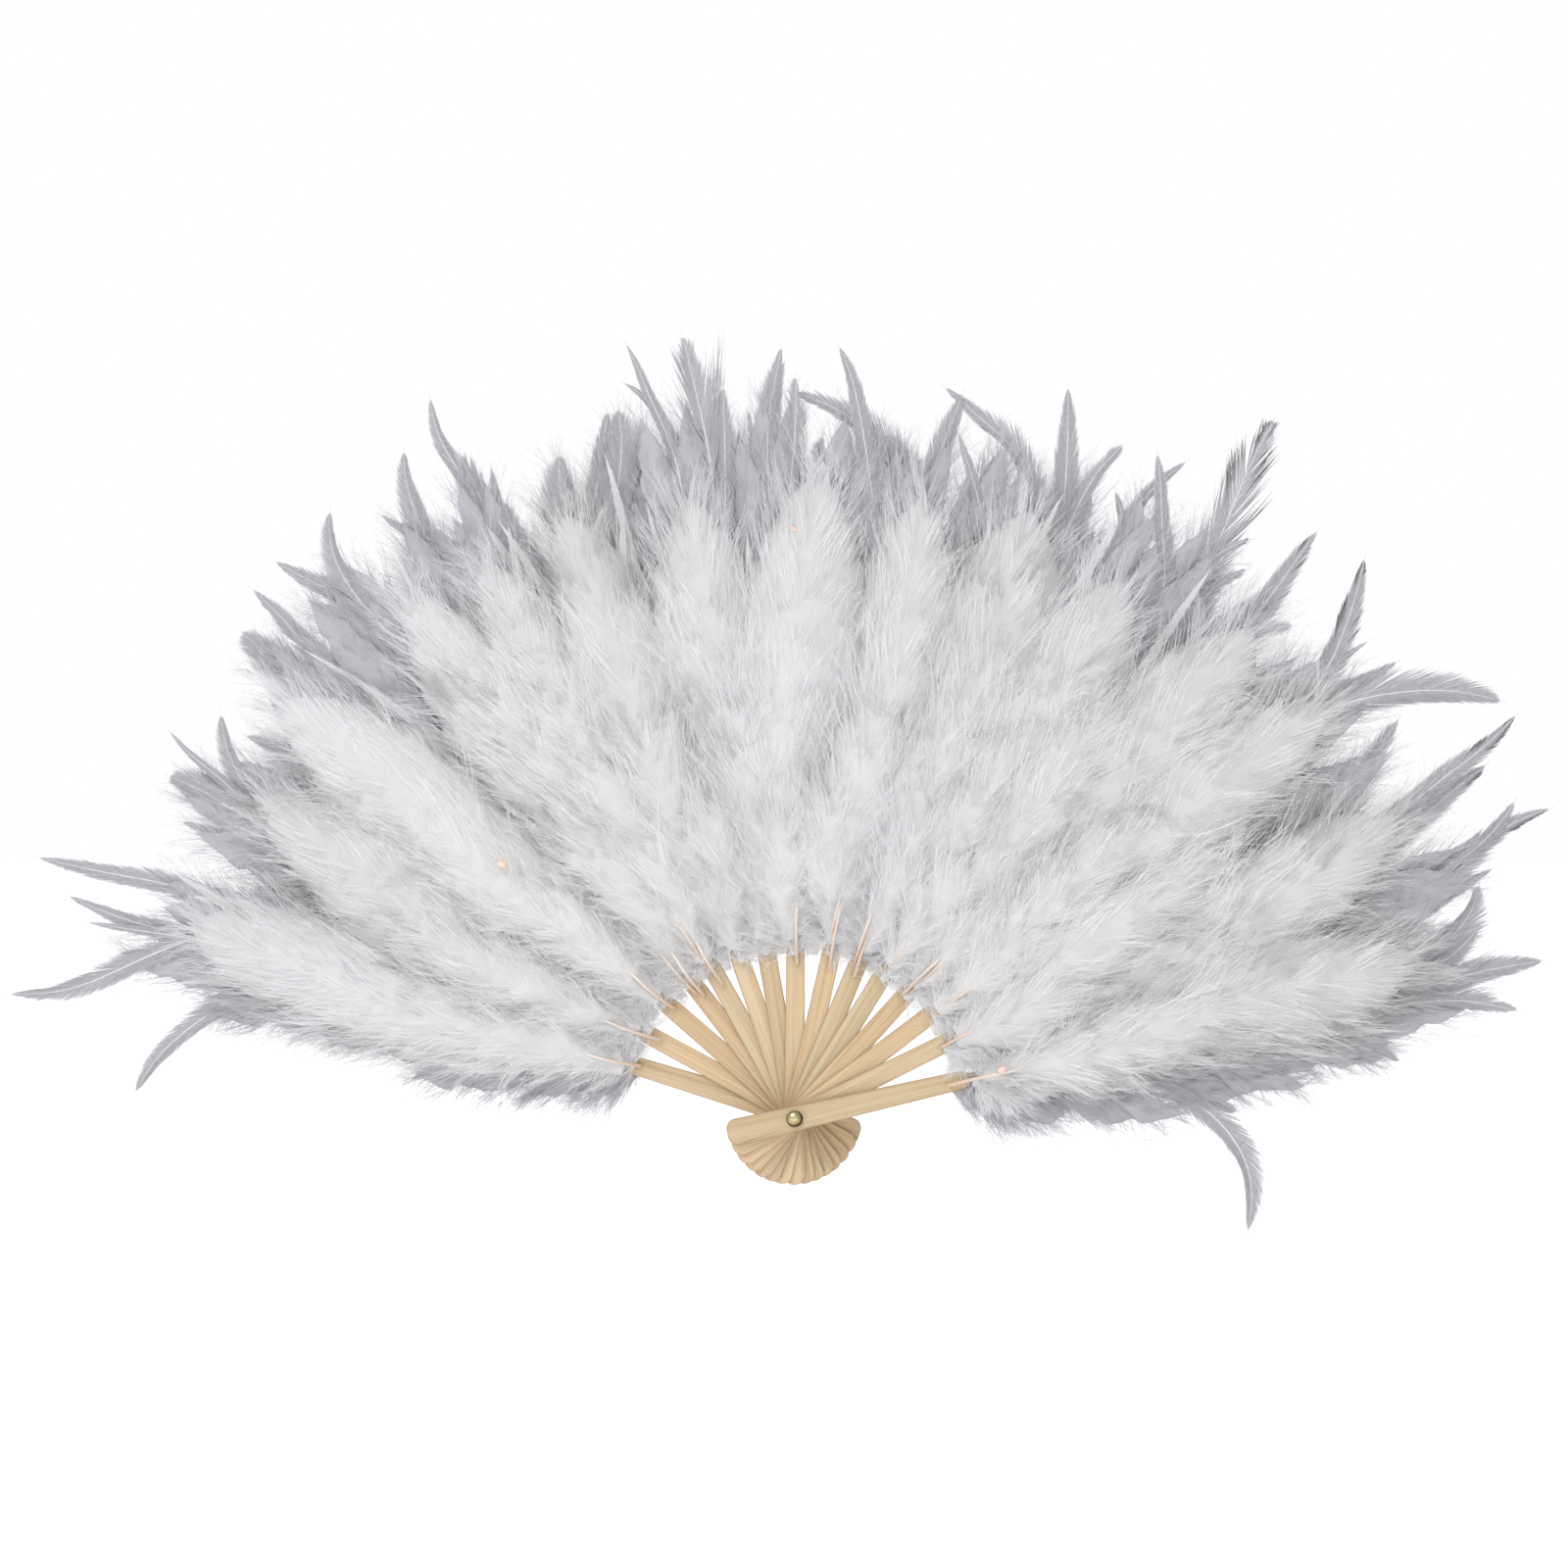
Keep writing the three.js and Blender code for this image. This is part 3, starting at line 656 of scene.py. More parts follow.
def smooth_path(corners, points):
    """A smooth curve through corner points, evenly spaced, its sharpest bends eased."""
    corners = np.asarray(corners)
    chords = np.linalg.norm(np.diff(corners, axis=0), axis=1)[:, None]
    slopes = np.diff(corners, axis=0) / chords
    inner = (slopes[:-1] * chords[1:] + slopes[1:] * chords[:-1]) / (chords[1:] + chords[:-1])
    ways = np.concatenate([slopes[:1], inner, slopes[-1:]])
    step = np.linspace(0, 1, CURVE_STEPS, endpoint=False)[:, None]
    runs = []
    for order, chord in enumerate(chords):
        begin, end = corners[order], corners[order + 1]
        leave, arrive = ways[order] * chord, ways[order + 1] * chord
        runs.append(
            begin + step * leave + step**2 * (3 * (end - begin) - 2 * leave - arrive)
            + step**3 * (2 * (begin - end) + leave + arrive)
        )
    curve = np.concatenate([*runs, corners[-1:]])
    length = np.concatenate([[0], np.cumsum(np.linalg.norm(np.diff(curve, axis=0), axis=1))])
    even = np.linspace(0, length[-1], points)
    curve = np.stack([np.interp(even, length, curve[:, axis]) for axis in range(3)], -1)
    for _ in range(EASINGS):
        curve[1:-1] = 0.5 * curve[1:-1] + 0.25 * (curve[:-2] + curve[2:])
    return curve


def hackle_path(stave, hackle, depth, lift, points=48):
    """A hackle's shaft: from the rib, through the spots where it shows, to its tip."""

    def leaning(lean, beyond):
        turn, radius = math.radians(lean), stave.plume_reach + beyond * MM
        return np.array([radius * math.cos(turn), radius * math.sin(turn), 0])

    first_spot = stave.plume_reach + hackle.spots[0][1] * MM
    root = np.array([min(stave.rib_reach - TIED_BELOW_RIB, first_spot - TIED_BELOW_SPOT), 0, 0])
    path = smooth_path([root, *(leaning(*spot) for spot in hackle.spots)], points)
    path[:, 2] = depth + lift * np.linspace(0, 1, points) ** 2.2
    return path


def hackle_outline(share, hackle):
    """Half the vane's width along it: loose and wide at its foot, a leaf, then a slim point."""
    leaf = 0.64 * hackle.width * MM
    foot = 0.6 * leaf * np.clip(1 - share / 0.5, 0, 1)
    point = np.clip(1 - share ** (4.4 + 7 * hackle.blunt), 0, 1) ** (0.72 - 0.25 * hackle.blunt)
    return (leaf + foot) * np.clip(share / 0.08, 0.4, 1) * point


def barb_length(share, angle, vane, hackle):
    """How long barbs grow from the shaft, at an angle, until they meet the vane's outline."""
    low, high = np.zeros_like(share), np.full_like(share, LONGEST_BARB)
    for _ in range(HALVINGS):
        middle = (low + high) / 2
        end = np.clip(share + middle * np.cos(angle) / vane, 0, 1)
        inside = middle * np.sin(angle) < hackle_outline(end, hackle)
        low, high = np.where(inside, middle, low), np.where(inside, high, middle)
    return low


def grow_hackle(pile, rng, path, hackle, look, slots=(0, 1, 2)):
    """Adds a hackle: a pale shaft, and a vane of fine barbs, loose below and close at the tip."""
    whole = path_length(path)
    foot = max(0.25, 1 - look.vane_length / whole)
    count = int(whole * (1 - foot) / look.vane_pitch)
    axes = (path, *axes_along(path))
    for side in (1.0, -1.0):
        share = (np.arange(count) + rng.uniform(0, 1, count)) / count
        loose = np.clip(1 - share / 0.55, 0, 1)
        # Barbs cling in clumps, which sway, twist, stretch and soot over as one.
        clump = np.cumsum(rng.random(count) < 0.08 + 0.06 * hackle.ragged)
        sway, twist, stretch, smut = rng.normal(0, 1, (clump.max() + 1, 4))[clump].T
        start, ahead, beside, before = (sample(rows, foot + (1 - foot) * 0.98 * share) for rows in axes)
        ragged = 0.12 + 0.6 * hackle.ragged + 0.6 * loose
        angle = np.radians(30 - 12 * share) + 0.2 * loose + 0.09 * ragged * sway
        angle = angle.clip(0.16, 1.2)
        tilt = 0.14 + 0.07 * twist
        uneven = rng.uniform(0.95 - 0.2 * ragged, 1.03 + 0.06 * ragged, count)
        uneven = uneven * (1 + 0.2 * ragged * stretch).clip(0.45, 1.4)
        length = barb_length(share, 0.86 * angle, whole * (1 - foot), hackle) * uneven
        out = side * np.cos(tilt)[:, None] * beside - np.sin(tilt)[:, None] * before
        first = turned(ahead, out, angle)
        last = unit(first + 0.45 * ahead)
        curl = (0.03 + 0.1 * ragged)[:, None] * rng.normal(0, 1, (count, 3))
        strands, ways = grown(start, first, last, length, curl, 5)
        across, _ = broad_side(ways, before, rng.normal(0, 0.15, count))
        taper = np.array([1, 1, 0.9, 0.65, 0.1])[None, :, None]
        wide = look.barb_width * (1 - 0.4 * ragged.clip(0, 1))[:, None, None] * taper
        sooty = 0.3 * smut + 1.5 * (share - 0.62) > 0.78 - 0.5 * hackle.soot
        sooty = sooty & (hackle.soot > 0) & (share > 0.5)
        for slot, chosen in zip(slots, (~sooty, sooty)):
            shade = share[chosen] * 0.96 + 0.02
            half_width = (across * wide)[chosen] / 2
            pile.strips(strands[chosen], half_width, shade, shade_width=0.005, slot=slot)
    pile.tube(path, look.shaft_radius * np.linspace(1, 0.2, len(path)), sides=5, slot=slots[2])


def nodes_of(owner):
    return owner.node_tree.nodes, owner.node_tree.links


def plain_material(name):
    """A new material with only a Principled shader, and that shader."""
    material = bpy.data.materials.new(name)
    material.use_nodes = True
    return material, material.node_tree.nodes["Principled BSDF"]


def ramp(material, source, stops):
    """A colour ramp read from a socket, with (place, colour) stops."""
    nodes, links = nodes_of(material)
    node = nodes.new("ShaderNodeValToRGB")
    elements = node.color_ramp.elements
    while len(elements) < len(stops):
        elements.new(0.5)
    for element, (place, colour) in zip(elements, stops):
        element.position = place
        element.color = (*colour, 1)
    links.new(source, node.inputs["Fac"])
    return node.outputs["Color"]


def grey(value):
    return (value, value, value)


def tinted(colour, value):
    return tuple(channel * value for channel in colour)


def multiplied(material, first, second):
    """Two colours multiplied."""
    nodes, links = nodes_of(material)
    node = nodes.new("ShaderNodeMix")
    node.data_type = "RGBA"
    node.blend_type = "MULTIPLY"
    node.inputs["Factor"].default_value = 1
    links.new(first, node.inputs["A"])
    links.new(second, node.inputs["B"])
    return node.outputs["Result"]


def strand_chart(material):
    """The sockets of the strands' map: the whole of it, shade across, and length along."""
    nodes, links = nodes_of(material)
    chart = nodes.new("ShaderNodeUVMap")
    chart.uv_map = STRAND_MAP
    parts = nodes.new("ShaderNodeSeparateXYZ")
    links.new(chart.outputs["UV"], parts.inputs["Vector"])
    return chart.outputs["UV"], parts.outputs["X"], parts.outputs["Y"]


def noise(material, vector, scale, detail=2.0, stretch=(1, 1, 1), turn=(0, 0, 0)):
    """Noise read along a turned and stretched vector."""
    nodes, links = nodes_of(material)
    place = nodes.new("ShaderNodeMapping")
    place.vector_type = "TEXTURE"
    place.inputs["Scale"].default_value = [1 / amount for amount in stretch]
    place.inputs["Rotation"].default_value = [-amount for amount in turn]
    links.new(vector, place.inputs["Vector"])
    texture = nodes.new("ShaderNodeTexNoise")
    texture.inputs["Scale"].default_value = scale
    texture.inputs["Detail"].default_value = detail
    links.new(place.outputs["Vector"], texture.inputs["Vector"])
    return texture.outputs["Fac"]


def coat(material, shader, colour, roughness):
    """Gives a shader its colour, from a socket, and its roughness."""
    material.node_tree.links.new(colour, shader.inputs["Base Color"])
    shader.inputs["Roughness"].default_value = roughness


def vary_gloss(material, shader, source, smooth, rough):
    """Lets a shader's roughness vary between two values with a texture."""
    nodes, links = nodes_of(material)
    gloss = nodes.new("ShaderNodeMapRange")
    gloss.inputs["To Min"].default_value = smooth
    gloss.inputs["To Max"].default_value = rough
    links.new(source, gloss.inputs["Value"])
    links.new(gloss.outputs["Result"], shader.inputs["Roughness"])


def let_light_through(material, shader, colour, share):
    """Mixes the shader with light that passes through thin strands."""
    nodes, links = nodes_of(material)
    through = nodes.new("ShaderNodeBsdfTranslucent")
    links.new(colour, through.inputs["Color"])
    blend = nodes.new("ShaderNodeMixShader")
    blend.inputs["Fac"].default_value = share
    links.new(shader.outputs["BSDF"], blend.inputs[1])
    links.new(through.outputs["BSDF"], blend.inputs[2])
    links.new(blend.outputs["Shader"], nodes["Material Output"].inputs["Surface"])


def down_material(look, name, colour):
    """Soft down: a little grey at the root, from shaded to bright, in a cool and a warm white."""
    material, shader = plain_material(name)
    _, shade, length = strand_chart(material)
    body = ramp(material, length, [
        (0.0, tinted(colour, 0.93)), (0.4, tuple(colour)), (1.0, tinted(colour, 1.02)),
    ])
    cool, warm = (0.996, 0.998, 1.005), (1.005, 0.999, 0.99)
    steps = ((0.01, 0.6), (0.09, 0.79), (0.2, 0.945), (0.32, 1.0), (0.48, 1.06))
    strand = ramp(material, shade, [
        *((place, tinted(cool, light)) for place, light in steps),
        *((place + 0.5, tinted(warm, light)) for place, light in steps),
    ])
    colour = multiplied(material, body, strand)
    coat(material, shader, colour, roughness=0.9)
    shader.inputs["Specular IOR Level"].default_value = 0.15
    let_light_through(material, shader, colour, look.translucency)
    return material


def quill_material(name, root, tip):
    """Bare horn quill, a little waxy, from its root colour to its tip colour."""
    material, shader = plain_material(name)
    chart, _, length = strand_chart(material)
    mottle = noise(material, chart, 18, 3)
    tone = ramp(material, length, [(0.0, root), (0.8, tip)])
    speckle = ramp(material, mottle, [(0.3, grey(0.88)), (0.7, grey(1.0))])
    coat(material, shader, multiplied(material, tone, speckle), roughness=0.32)
    return material


def vane_material(look, name, colour, soot=False):
    """A hackle vane: pale streaks barb by barb, a white loose foot, sooty ends if asked."""
    material, shader = plain_material(name)
    chart, along, out = strand_chart(material)
    vane = ramp(material, out, [
        (0.0, tinted(colour, 1.1)), (0.2, tuple(colour)), (0.82, tinted(colour, 0.97)),
        (1.0, tinted(colour, 1.3)),
    ])
    foot = ramp(material, along, [(0.0, grey(1.2)), (0.4, grey(1.0)), (1.0, grey(0.98))])
    streaks = noise(material, chart, 10, 3, stretch=(22, 0.5, 1))
    barbs = ramp(material, streaks, [
        (0.3, grey(0.86)), (0.52, grey(1.0)), (0.62, grey(1.08)), (0.74, grey(1.5)),
    ])
    colour = multiplied(material, multiplied(material, vane, foot), barbs)
    if soot:
        ends = ramp(material, out, [
            (0.3, grey(1.0)), (0.65, (0.55, 0.54, 0.54)), (0.95, (0.2, 0.19, 0.19)),
        ])
        colour = multiplied(material, colour, ends)
    coat(material, shader, colour, roughness=0.55)
    shader.inputs["Specular IOR Level"].default_value = 0.35
    let_light_through(material, shader, colour, look.translucency)
    return material


def shaft_material(look):
    """A hackle's pale shaft."""
    material, shader = plain_material("hackle_shaft")
    _, _, length = strand_chart(material)
    colour = ramp(material, length, [
        (0.0, (0.86, 0.84, 0.82)), (0.7, look.shaft_colour), (1.0, (0.62, 0.62, 0.64)),
    ])
    coat(material, shader, colour, roughness=0.4)
    return material


def bamboo_material(stave, look, name, light, warmth=0.0):
    """Bamboo with its fibres along the stave, each stave a little lighter or darker; a light below 1
    paints shade on it.
    """
    material, shader = plain_material(f"{name}_{stave.number + 1:02d}")
    nodes, links = nodes_of(material)
    place = nodes.new("ShaderNodeTexCoord").outputs["Object"]
    turn = (0, stave.angle, 0)
    fibres = noise(material, place, 1, 3, stretch=(30, 1500, 1500), turn=turn)
    streaks = noise(material, place, 1, 2, stretch=(9, 420, 420), turn=turn)
    rng = np.random.default_rng(stave.number)
    hue = rng.uniform(-0.03, 0.03) - warmth
    tone = light * rng.uniform(0.92, 1.06) * np.array([1 - hue, 1 + 0.3 * hue, 1 + hue])
    body = ramp(material, streaks, [
        (0.3, tuple(tone * look.dark_colour)), (0.62, tuple(tone * look.colour)),
    ])
    grain = ramp(material, fibres, [(0.3, (0.84, 0.79, 0.7)), (0.52, grey(1.0))])
    links.new(multiplied(material, body, grain), shader.inputs["Base Color"])
    vary_gloss(material, shader, fibres, smooth=0.42, rough=0.62)
    bump = nodes.new("ShaderNodeBump")
    bump.inputs["Strength"].default_value = 0.25
    bump.inputs["Distance"].default_value = 0.08 * MM
    links.new(fibres, bump.inputs["Height"])
    links.new(bump.outputs["Normal"], shader.inputs["Normal"])
    return material


def brass_material(look):
    """Brass with a painted highlight near the crown of the dome and painted dark reflections towards its
    rim.
    """
    material, shader = plain_material("rivet_brass")
    nodes, links = nodes_of(material)
    place = nodes.new("ShaderNodeTexCoord").outputs["Object"]
    # The painted highlight sits a little up and to the left of the dome's crown.
    highlight_centred = nodes.new("ShaderNodeVectorMath")
    highlight_centred.operation = "MULTIPLY_ADD"
    highlight_centred.inputs[1].default_value = (300, 0, 300)
    highlight_centred.inputs[2].default_value = (0.1, 0, -0.12)
    links.new(place, highlight_centred.inputs[0])
    away = nodes.new("ShaderNodeVectorMath")
    away.operation = "LENGTH"
    links.new(highlight_centred.outputs["Vector"], away.inputs[0])
    # Painted reflections in rings round the highlight: bright brass, a dark band, then a dark rim.
    dome = ramp(material, away.outputs["Value"], [
        (0.0, look.brass_colour), (0.24, look.brass_colour), (0.4, tinted(look.brass_colour, 0.5)),
        (0.5, tinted(look.brass_colour, 0.62)), (0.66, look.dark_reflection_colour),
    ])
    patina = noise(material, place, 900, 3)
    spots = ramp(material, patina, [(0.35, grey(0.85)), (0.65, grey(1.0))])
    links.new(multiplied(material, dome, spots), shader.inputs["Base Color"])
    wiping = noise(material, place, 2600, 2, stretch=(1, 1, 6))
    vary_gloss(material, shader, wiping, smooth=0.12, rough=0.26)
    shader.inputs["Metallic"].default_value = 1
    return material


def satin_material():
    """White satin ribbon with its close weave."""
    material, shader = plain_material("ribbon_satin")
    chart, _, _ = strand_chart(material)
    weave = noise(material, chart, 60, 2, stretch=(0.4, 6, 1))
    colour = ramp(material, weave, [(0.3, (0.66, 0.645, 0.61)), (0.7, (0.78, 0.765, 0.73))])
    coat(material, shader, colour, roughness=0.38)
    shader.inputs["Sheen Weight"].default_value = 0.3
    return material


class FanStaveSettings(PropertyGroup):
    """The bamboo staves and the brass rivet."""

    bevel: FloatProperty(
        name="Edge round", description="Round on the staves' edges", default=0.3 * MM, unit="LENGTH"
    )
    colour: FloatVectorProperty(
        name="Bamboo", description="Planed bamboo", default=(0.635, 0.488, 0.312), subtype="COLOR"
    )
    dark_colour: FloatVectorProperty(
        name="Bamboo streak", description="Darker streaks", default=(0.54, 0.392, 0.232), subtype="COLOR"
    )
    # Painted shade: how light the bevelled edges are, as a darker, warmer copy of the bamboo.
    shaded_edge_light: FloatProperty(
        name="Edge light", description="Lightness of the shade_painted edges", default=0.74, subtype="FACTOR"
    )
    brass_colour: FloatVectorProperty(
        name="Brass", description="Polished brass", default=(0.78, 0.66, 0.36), subtype="COLOR"
    )
    # The painted dark reflection at the dome's rim.
    dark_reflection_colour: FloatVectorProperty(
        name="Reflection", description="Dark brass at the rim", default=(0.1, 0.07, 0.025), subtype="COLOR"
    )


class FanPlumeSettings(PropertyGroup):
    """The marabou plumes."""

    colour: FloatVectorProperty(
        name="Down", description="White down", default=(0.892, 0.891, 0.897), subtype="COLOR"
    )
    wisp_colour: FloatVectorProperty(
        name="Wisp", description="Slender white feathers", default=(0.84, 0.842, 0.85), subtype="COLOR"
    )
    quill_colour: FloatVectorProperty(
        name="Quill", description="Bare quill", default=(0.66, 0.47, 0.34), subtype="COLOR"
    )
    quill_end_colour: FloatVectorProperty(
        name="Quill end", description="Cut end of a quill", default=(0.84, 0.63, 0.5), subtype="COLOR"
    )
    translucency: FloatProperty(
        name="Translucency", description="Light let through", default=0.37, subtype="FACTOR"
    )
    barb_width: FloatProperty(
        name="Barb width", description="Width of a barb", default=0.2 * MM, unit="LENGTH"
    )
    barb_points: IntProperty(name="Barb points", description="Points along a barb", default=5)
    barb_curl: FloatProperty(name="Barb curl", description="How much barbs stray", default=0.4)
    clump: FloatProperty(
        name="Clump", description="How far a tuft's barbs draw together", default=0.55, subtype="FACTOR"
    )
    barbule_lean: FloatProperty(
        name="Barbule lean", description="Angle off the barb", default=0.42, subtype="ANGLE"
    )
    barbule_length: FloatProperty(
        name="Barbule length", description="Length of a fine strand", default=5 * MM, unit="LENGTH"
    )
    barbule_width: FloatProperty(
        name="Barbule width", description="Width of a fine strand", default=0.085 * MM, unit="LENGTH"
    )


class FanHackleSettings(PropertyGroup):
    """The pointed hackle feathers."""

    colour: FloatVectorProperty(
        name="Vane", description="Grey vane", default=(0.562, 0.562, 0.594), subtype="COLOR"
    )
    down_colour: FloatVectorProperty(
        name="Fringe", description="Grey down", default=(0.663, 0.66, 0.692), subtype="COLOR"
    )
    shaft_colour: FloatVectorProperty(
        name="Shaft", description="Pale shaft", default=(0.9, 0.9, 0.92), subtype="COLOR"
    )
    translucency: FloatProperty(
        name="Translucency", description="Light let through", default=0.42, subtype="FACTOR"
    )
    vane_length: FloatProperty(
        name="Vane length", description="Length of the vaned part", default=95 * MM, unit="LENGTH"
    )
    vane_pitch: FloatProperty(
        name="Barb pitch", description="Spacing of the vane's barbs", default=0.55 * MM, unit="LENGTH"
    )
    barb_width: FloatProperty(
        name="Barb width", description="Width of a vane's barb", default=0.5 * MM, unit="LENGTH"
    )
    shaft_radius: FloatProperty(
        name="Shaft radius", description="Radius at the foot", default=0.38 * MM, unit="LENGTH"
    )


class FanStageSettings(PropertyGroup):
    """The floor, the light and the camera."""

    floor_drop: FloatProperty(
        name="Floor drop", description="Floor below the lowest feather", default=3 * MM, unit="LENGTH"
    )
    floor_size: FloatProperty(
        name="Floor size", description="Width of the floor", default=12.0, unit="LENGTH"
    )
    sky: FloatProperty(name="Sky", description="Strength of the white surround", default=0.78)
    key: FloatProperty(name="Key", description="Power of the key light", default=11.0, unit="POWER")
    aim_x: FloatProperty(name="Aim X", description="Middle of the view", default=-3.1 * MM, unit="LENGTH")
    aim_z: FloatProperty(name="Aim Z", description="Middle of the view", default=97.0 * MM, unit="LENGTH")
    field: FloatProperty(
        name="Field", description="Width seen at the fan", default=456 * MM, unit="LENGTH"
    )
    lens: FloatProperty(name="Lens", description="Focal length", default=100.0, unit="CAMERA")


def dress(node, *materials):
    """Gives a solid its materials, and joins its loose triangles into whole faces, shaded smoothly."""
    node.data.materials.clear()
    for material in materials:
        node.data.materials.append(material)
    node.data.shade_smooth()
    node.modifiers.new("weld", "WELD").merge_threshold = 0.001 * MM
    flat = node.modifiers.new("whole_faces", "DECIMATE")
    flat.decimate_type = "DISSOLVE"
    flat.angle_limit = math.radians(1)


def set_on(stave, piece, solid):
    """Sets a new piece on its stave's body, in place of a solid."""
    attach(piece, stave.body)
    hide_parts(solid)


class FAN_OT_plane_staves(Operator):
    """Give each bamboo stave its grain and soft edges"""

    bl_idname = "fan.plane_staves"
    bl_label = "Plane the staves"

    def execute(self, context):
        look = context.scene.fan_staves
        for stave in FAN:
            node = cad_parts[stave.body]
            faces = bamboo_material(stave, look, "bamboo", light=1.0)
            # The bevelled edges take a darker, warmer copy of the bamboo, as painted shade.
            edges = bamboo_material(stave, look, "bamboo_shaded_edge", light=look.shaded_edge_light, warmth=0.07)
            dress(node, faces, edges)
            edge = node.modifiers.new("edge_round", "BEVEL")
            edge.width = look.bevel
            edge.segments = 3
            # The bevel's faces take the darker copy: painted shade along every edge.
            edge.material = 1
            edge.use_clamp_overlap = False
            edge.limit_method = "ANGLE"
            edge.angle_limit = math.radians(50)
            edge.harden_normals = True
        return {"FINISHED"}


class FAN_OT_set_rivet(Operator):
    """Polish the rivet and its washer"""

    bl_idname = "fan.set_rivet"
    bl_label = "Set the rivet"

    def execute(self, context):
        brass = brass_material(context.scene.fan_staves)
        for name in ("rivet", "washer"):
            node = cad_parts[name]
            dress(node, brass)
            corner = node.modifiers.new("sharp_corners", "EDGE_SPLIT")
            corner.split_angle = math.radians(40)
        return {"FINISHED"}


class FAN_OT_tie_ribbon(Operator):
    """Stretch the satin ribbon across each bay behind the ribs"""

    bl_idname = "fan.tie_ribbon"
    bl_label = "Tie the ribbon"

    def execute(self, context):
        satin = satin_material()
        solid = mesh_points(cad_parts["link_ribbon"])
        radius = np.hypot(solid[:, 0], solid[:, 2])
        for stave, following in zip(FAN[:-1], FAN[1:]):
            self.bay(stave, following, radius.min(), radius.max(), satin)
        return {"FINISHED"}

    def bay(self, stave, following, inner, outer, satin):
        """One bay's ribbon, gently sagging back between two ribs."""
        rows, columns = 15, 7
        share = np.linspace(0, 1, rows)[:, None]
        turn = (following.angle - stave.angle) * share
        radius = np.linspace(inner, outer, columns)[None, :]
        depth = stave.back + (following.back - stave.back) * share - RIBBON_GAP
        depth = np.broadcast_to(depth - RIBBON_SAG * np.sin(math.pi * share), (rows, columns))
        places = np.stack([radius * np.cos(turn), radius * np.sin(turn), depth], -1)
        chart = np.empty((1, rows, columns, 2))
        chart[..., 0] = RIBBON_MARGIN + (1 - 2 * RIBBON_MARGIN) * np.linspace(0, 1, columns)
        chart[..., 1] = RIBBON_MARGIN + (1 - 2 * RIBBON_MARGIN) * share
        pile = Pile()
        pile.grid(places[None], chart, 0)
        piece = pile.build(f"ribbon_bay_{stave.number + 1:02d}", [satin], stave)
        piece.modifiers.new("thickness", "SOLIDIFY").thickness = RIBBON_THICKNESS
        set_on(stave, piece, "link_ribbon")
        middle = (inner + outer) / 2
        anchor = stave.world(np.array([middle, 0, stave.back]))
        axis = stave.world(np.array([0.0, 1.0, 0.0]))
        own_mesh(piece)


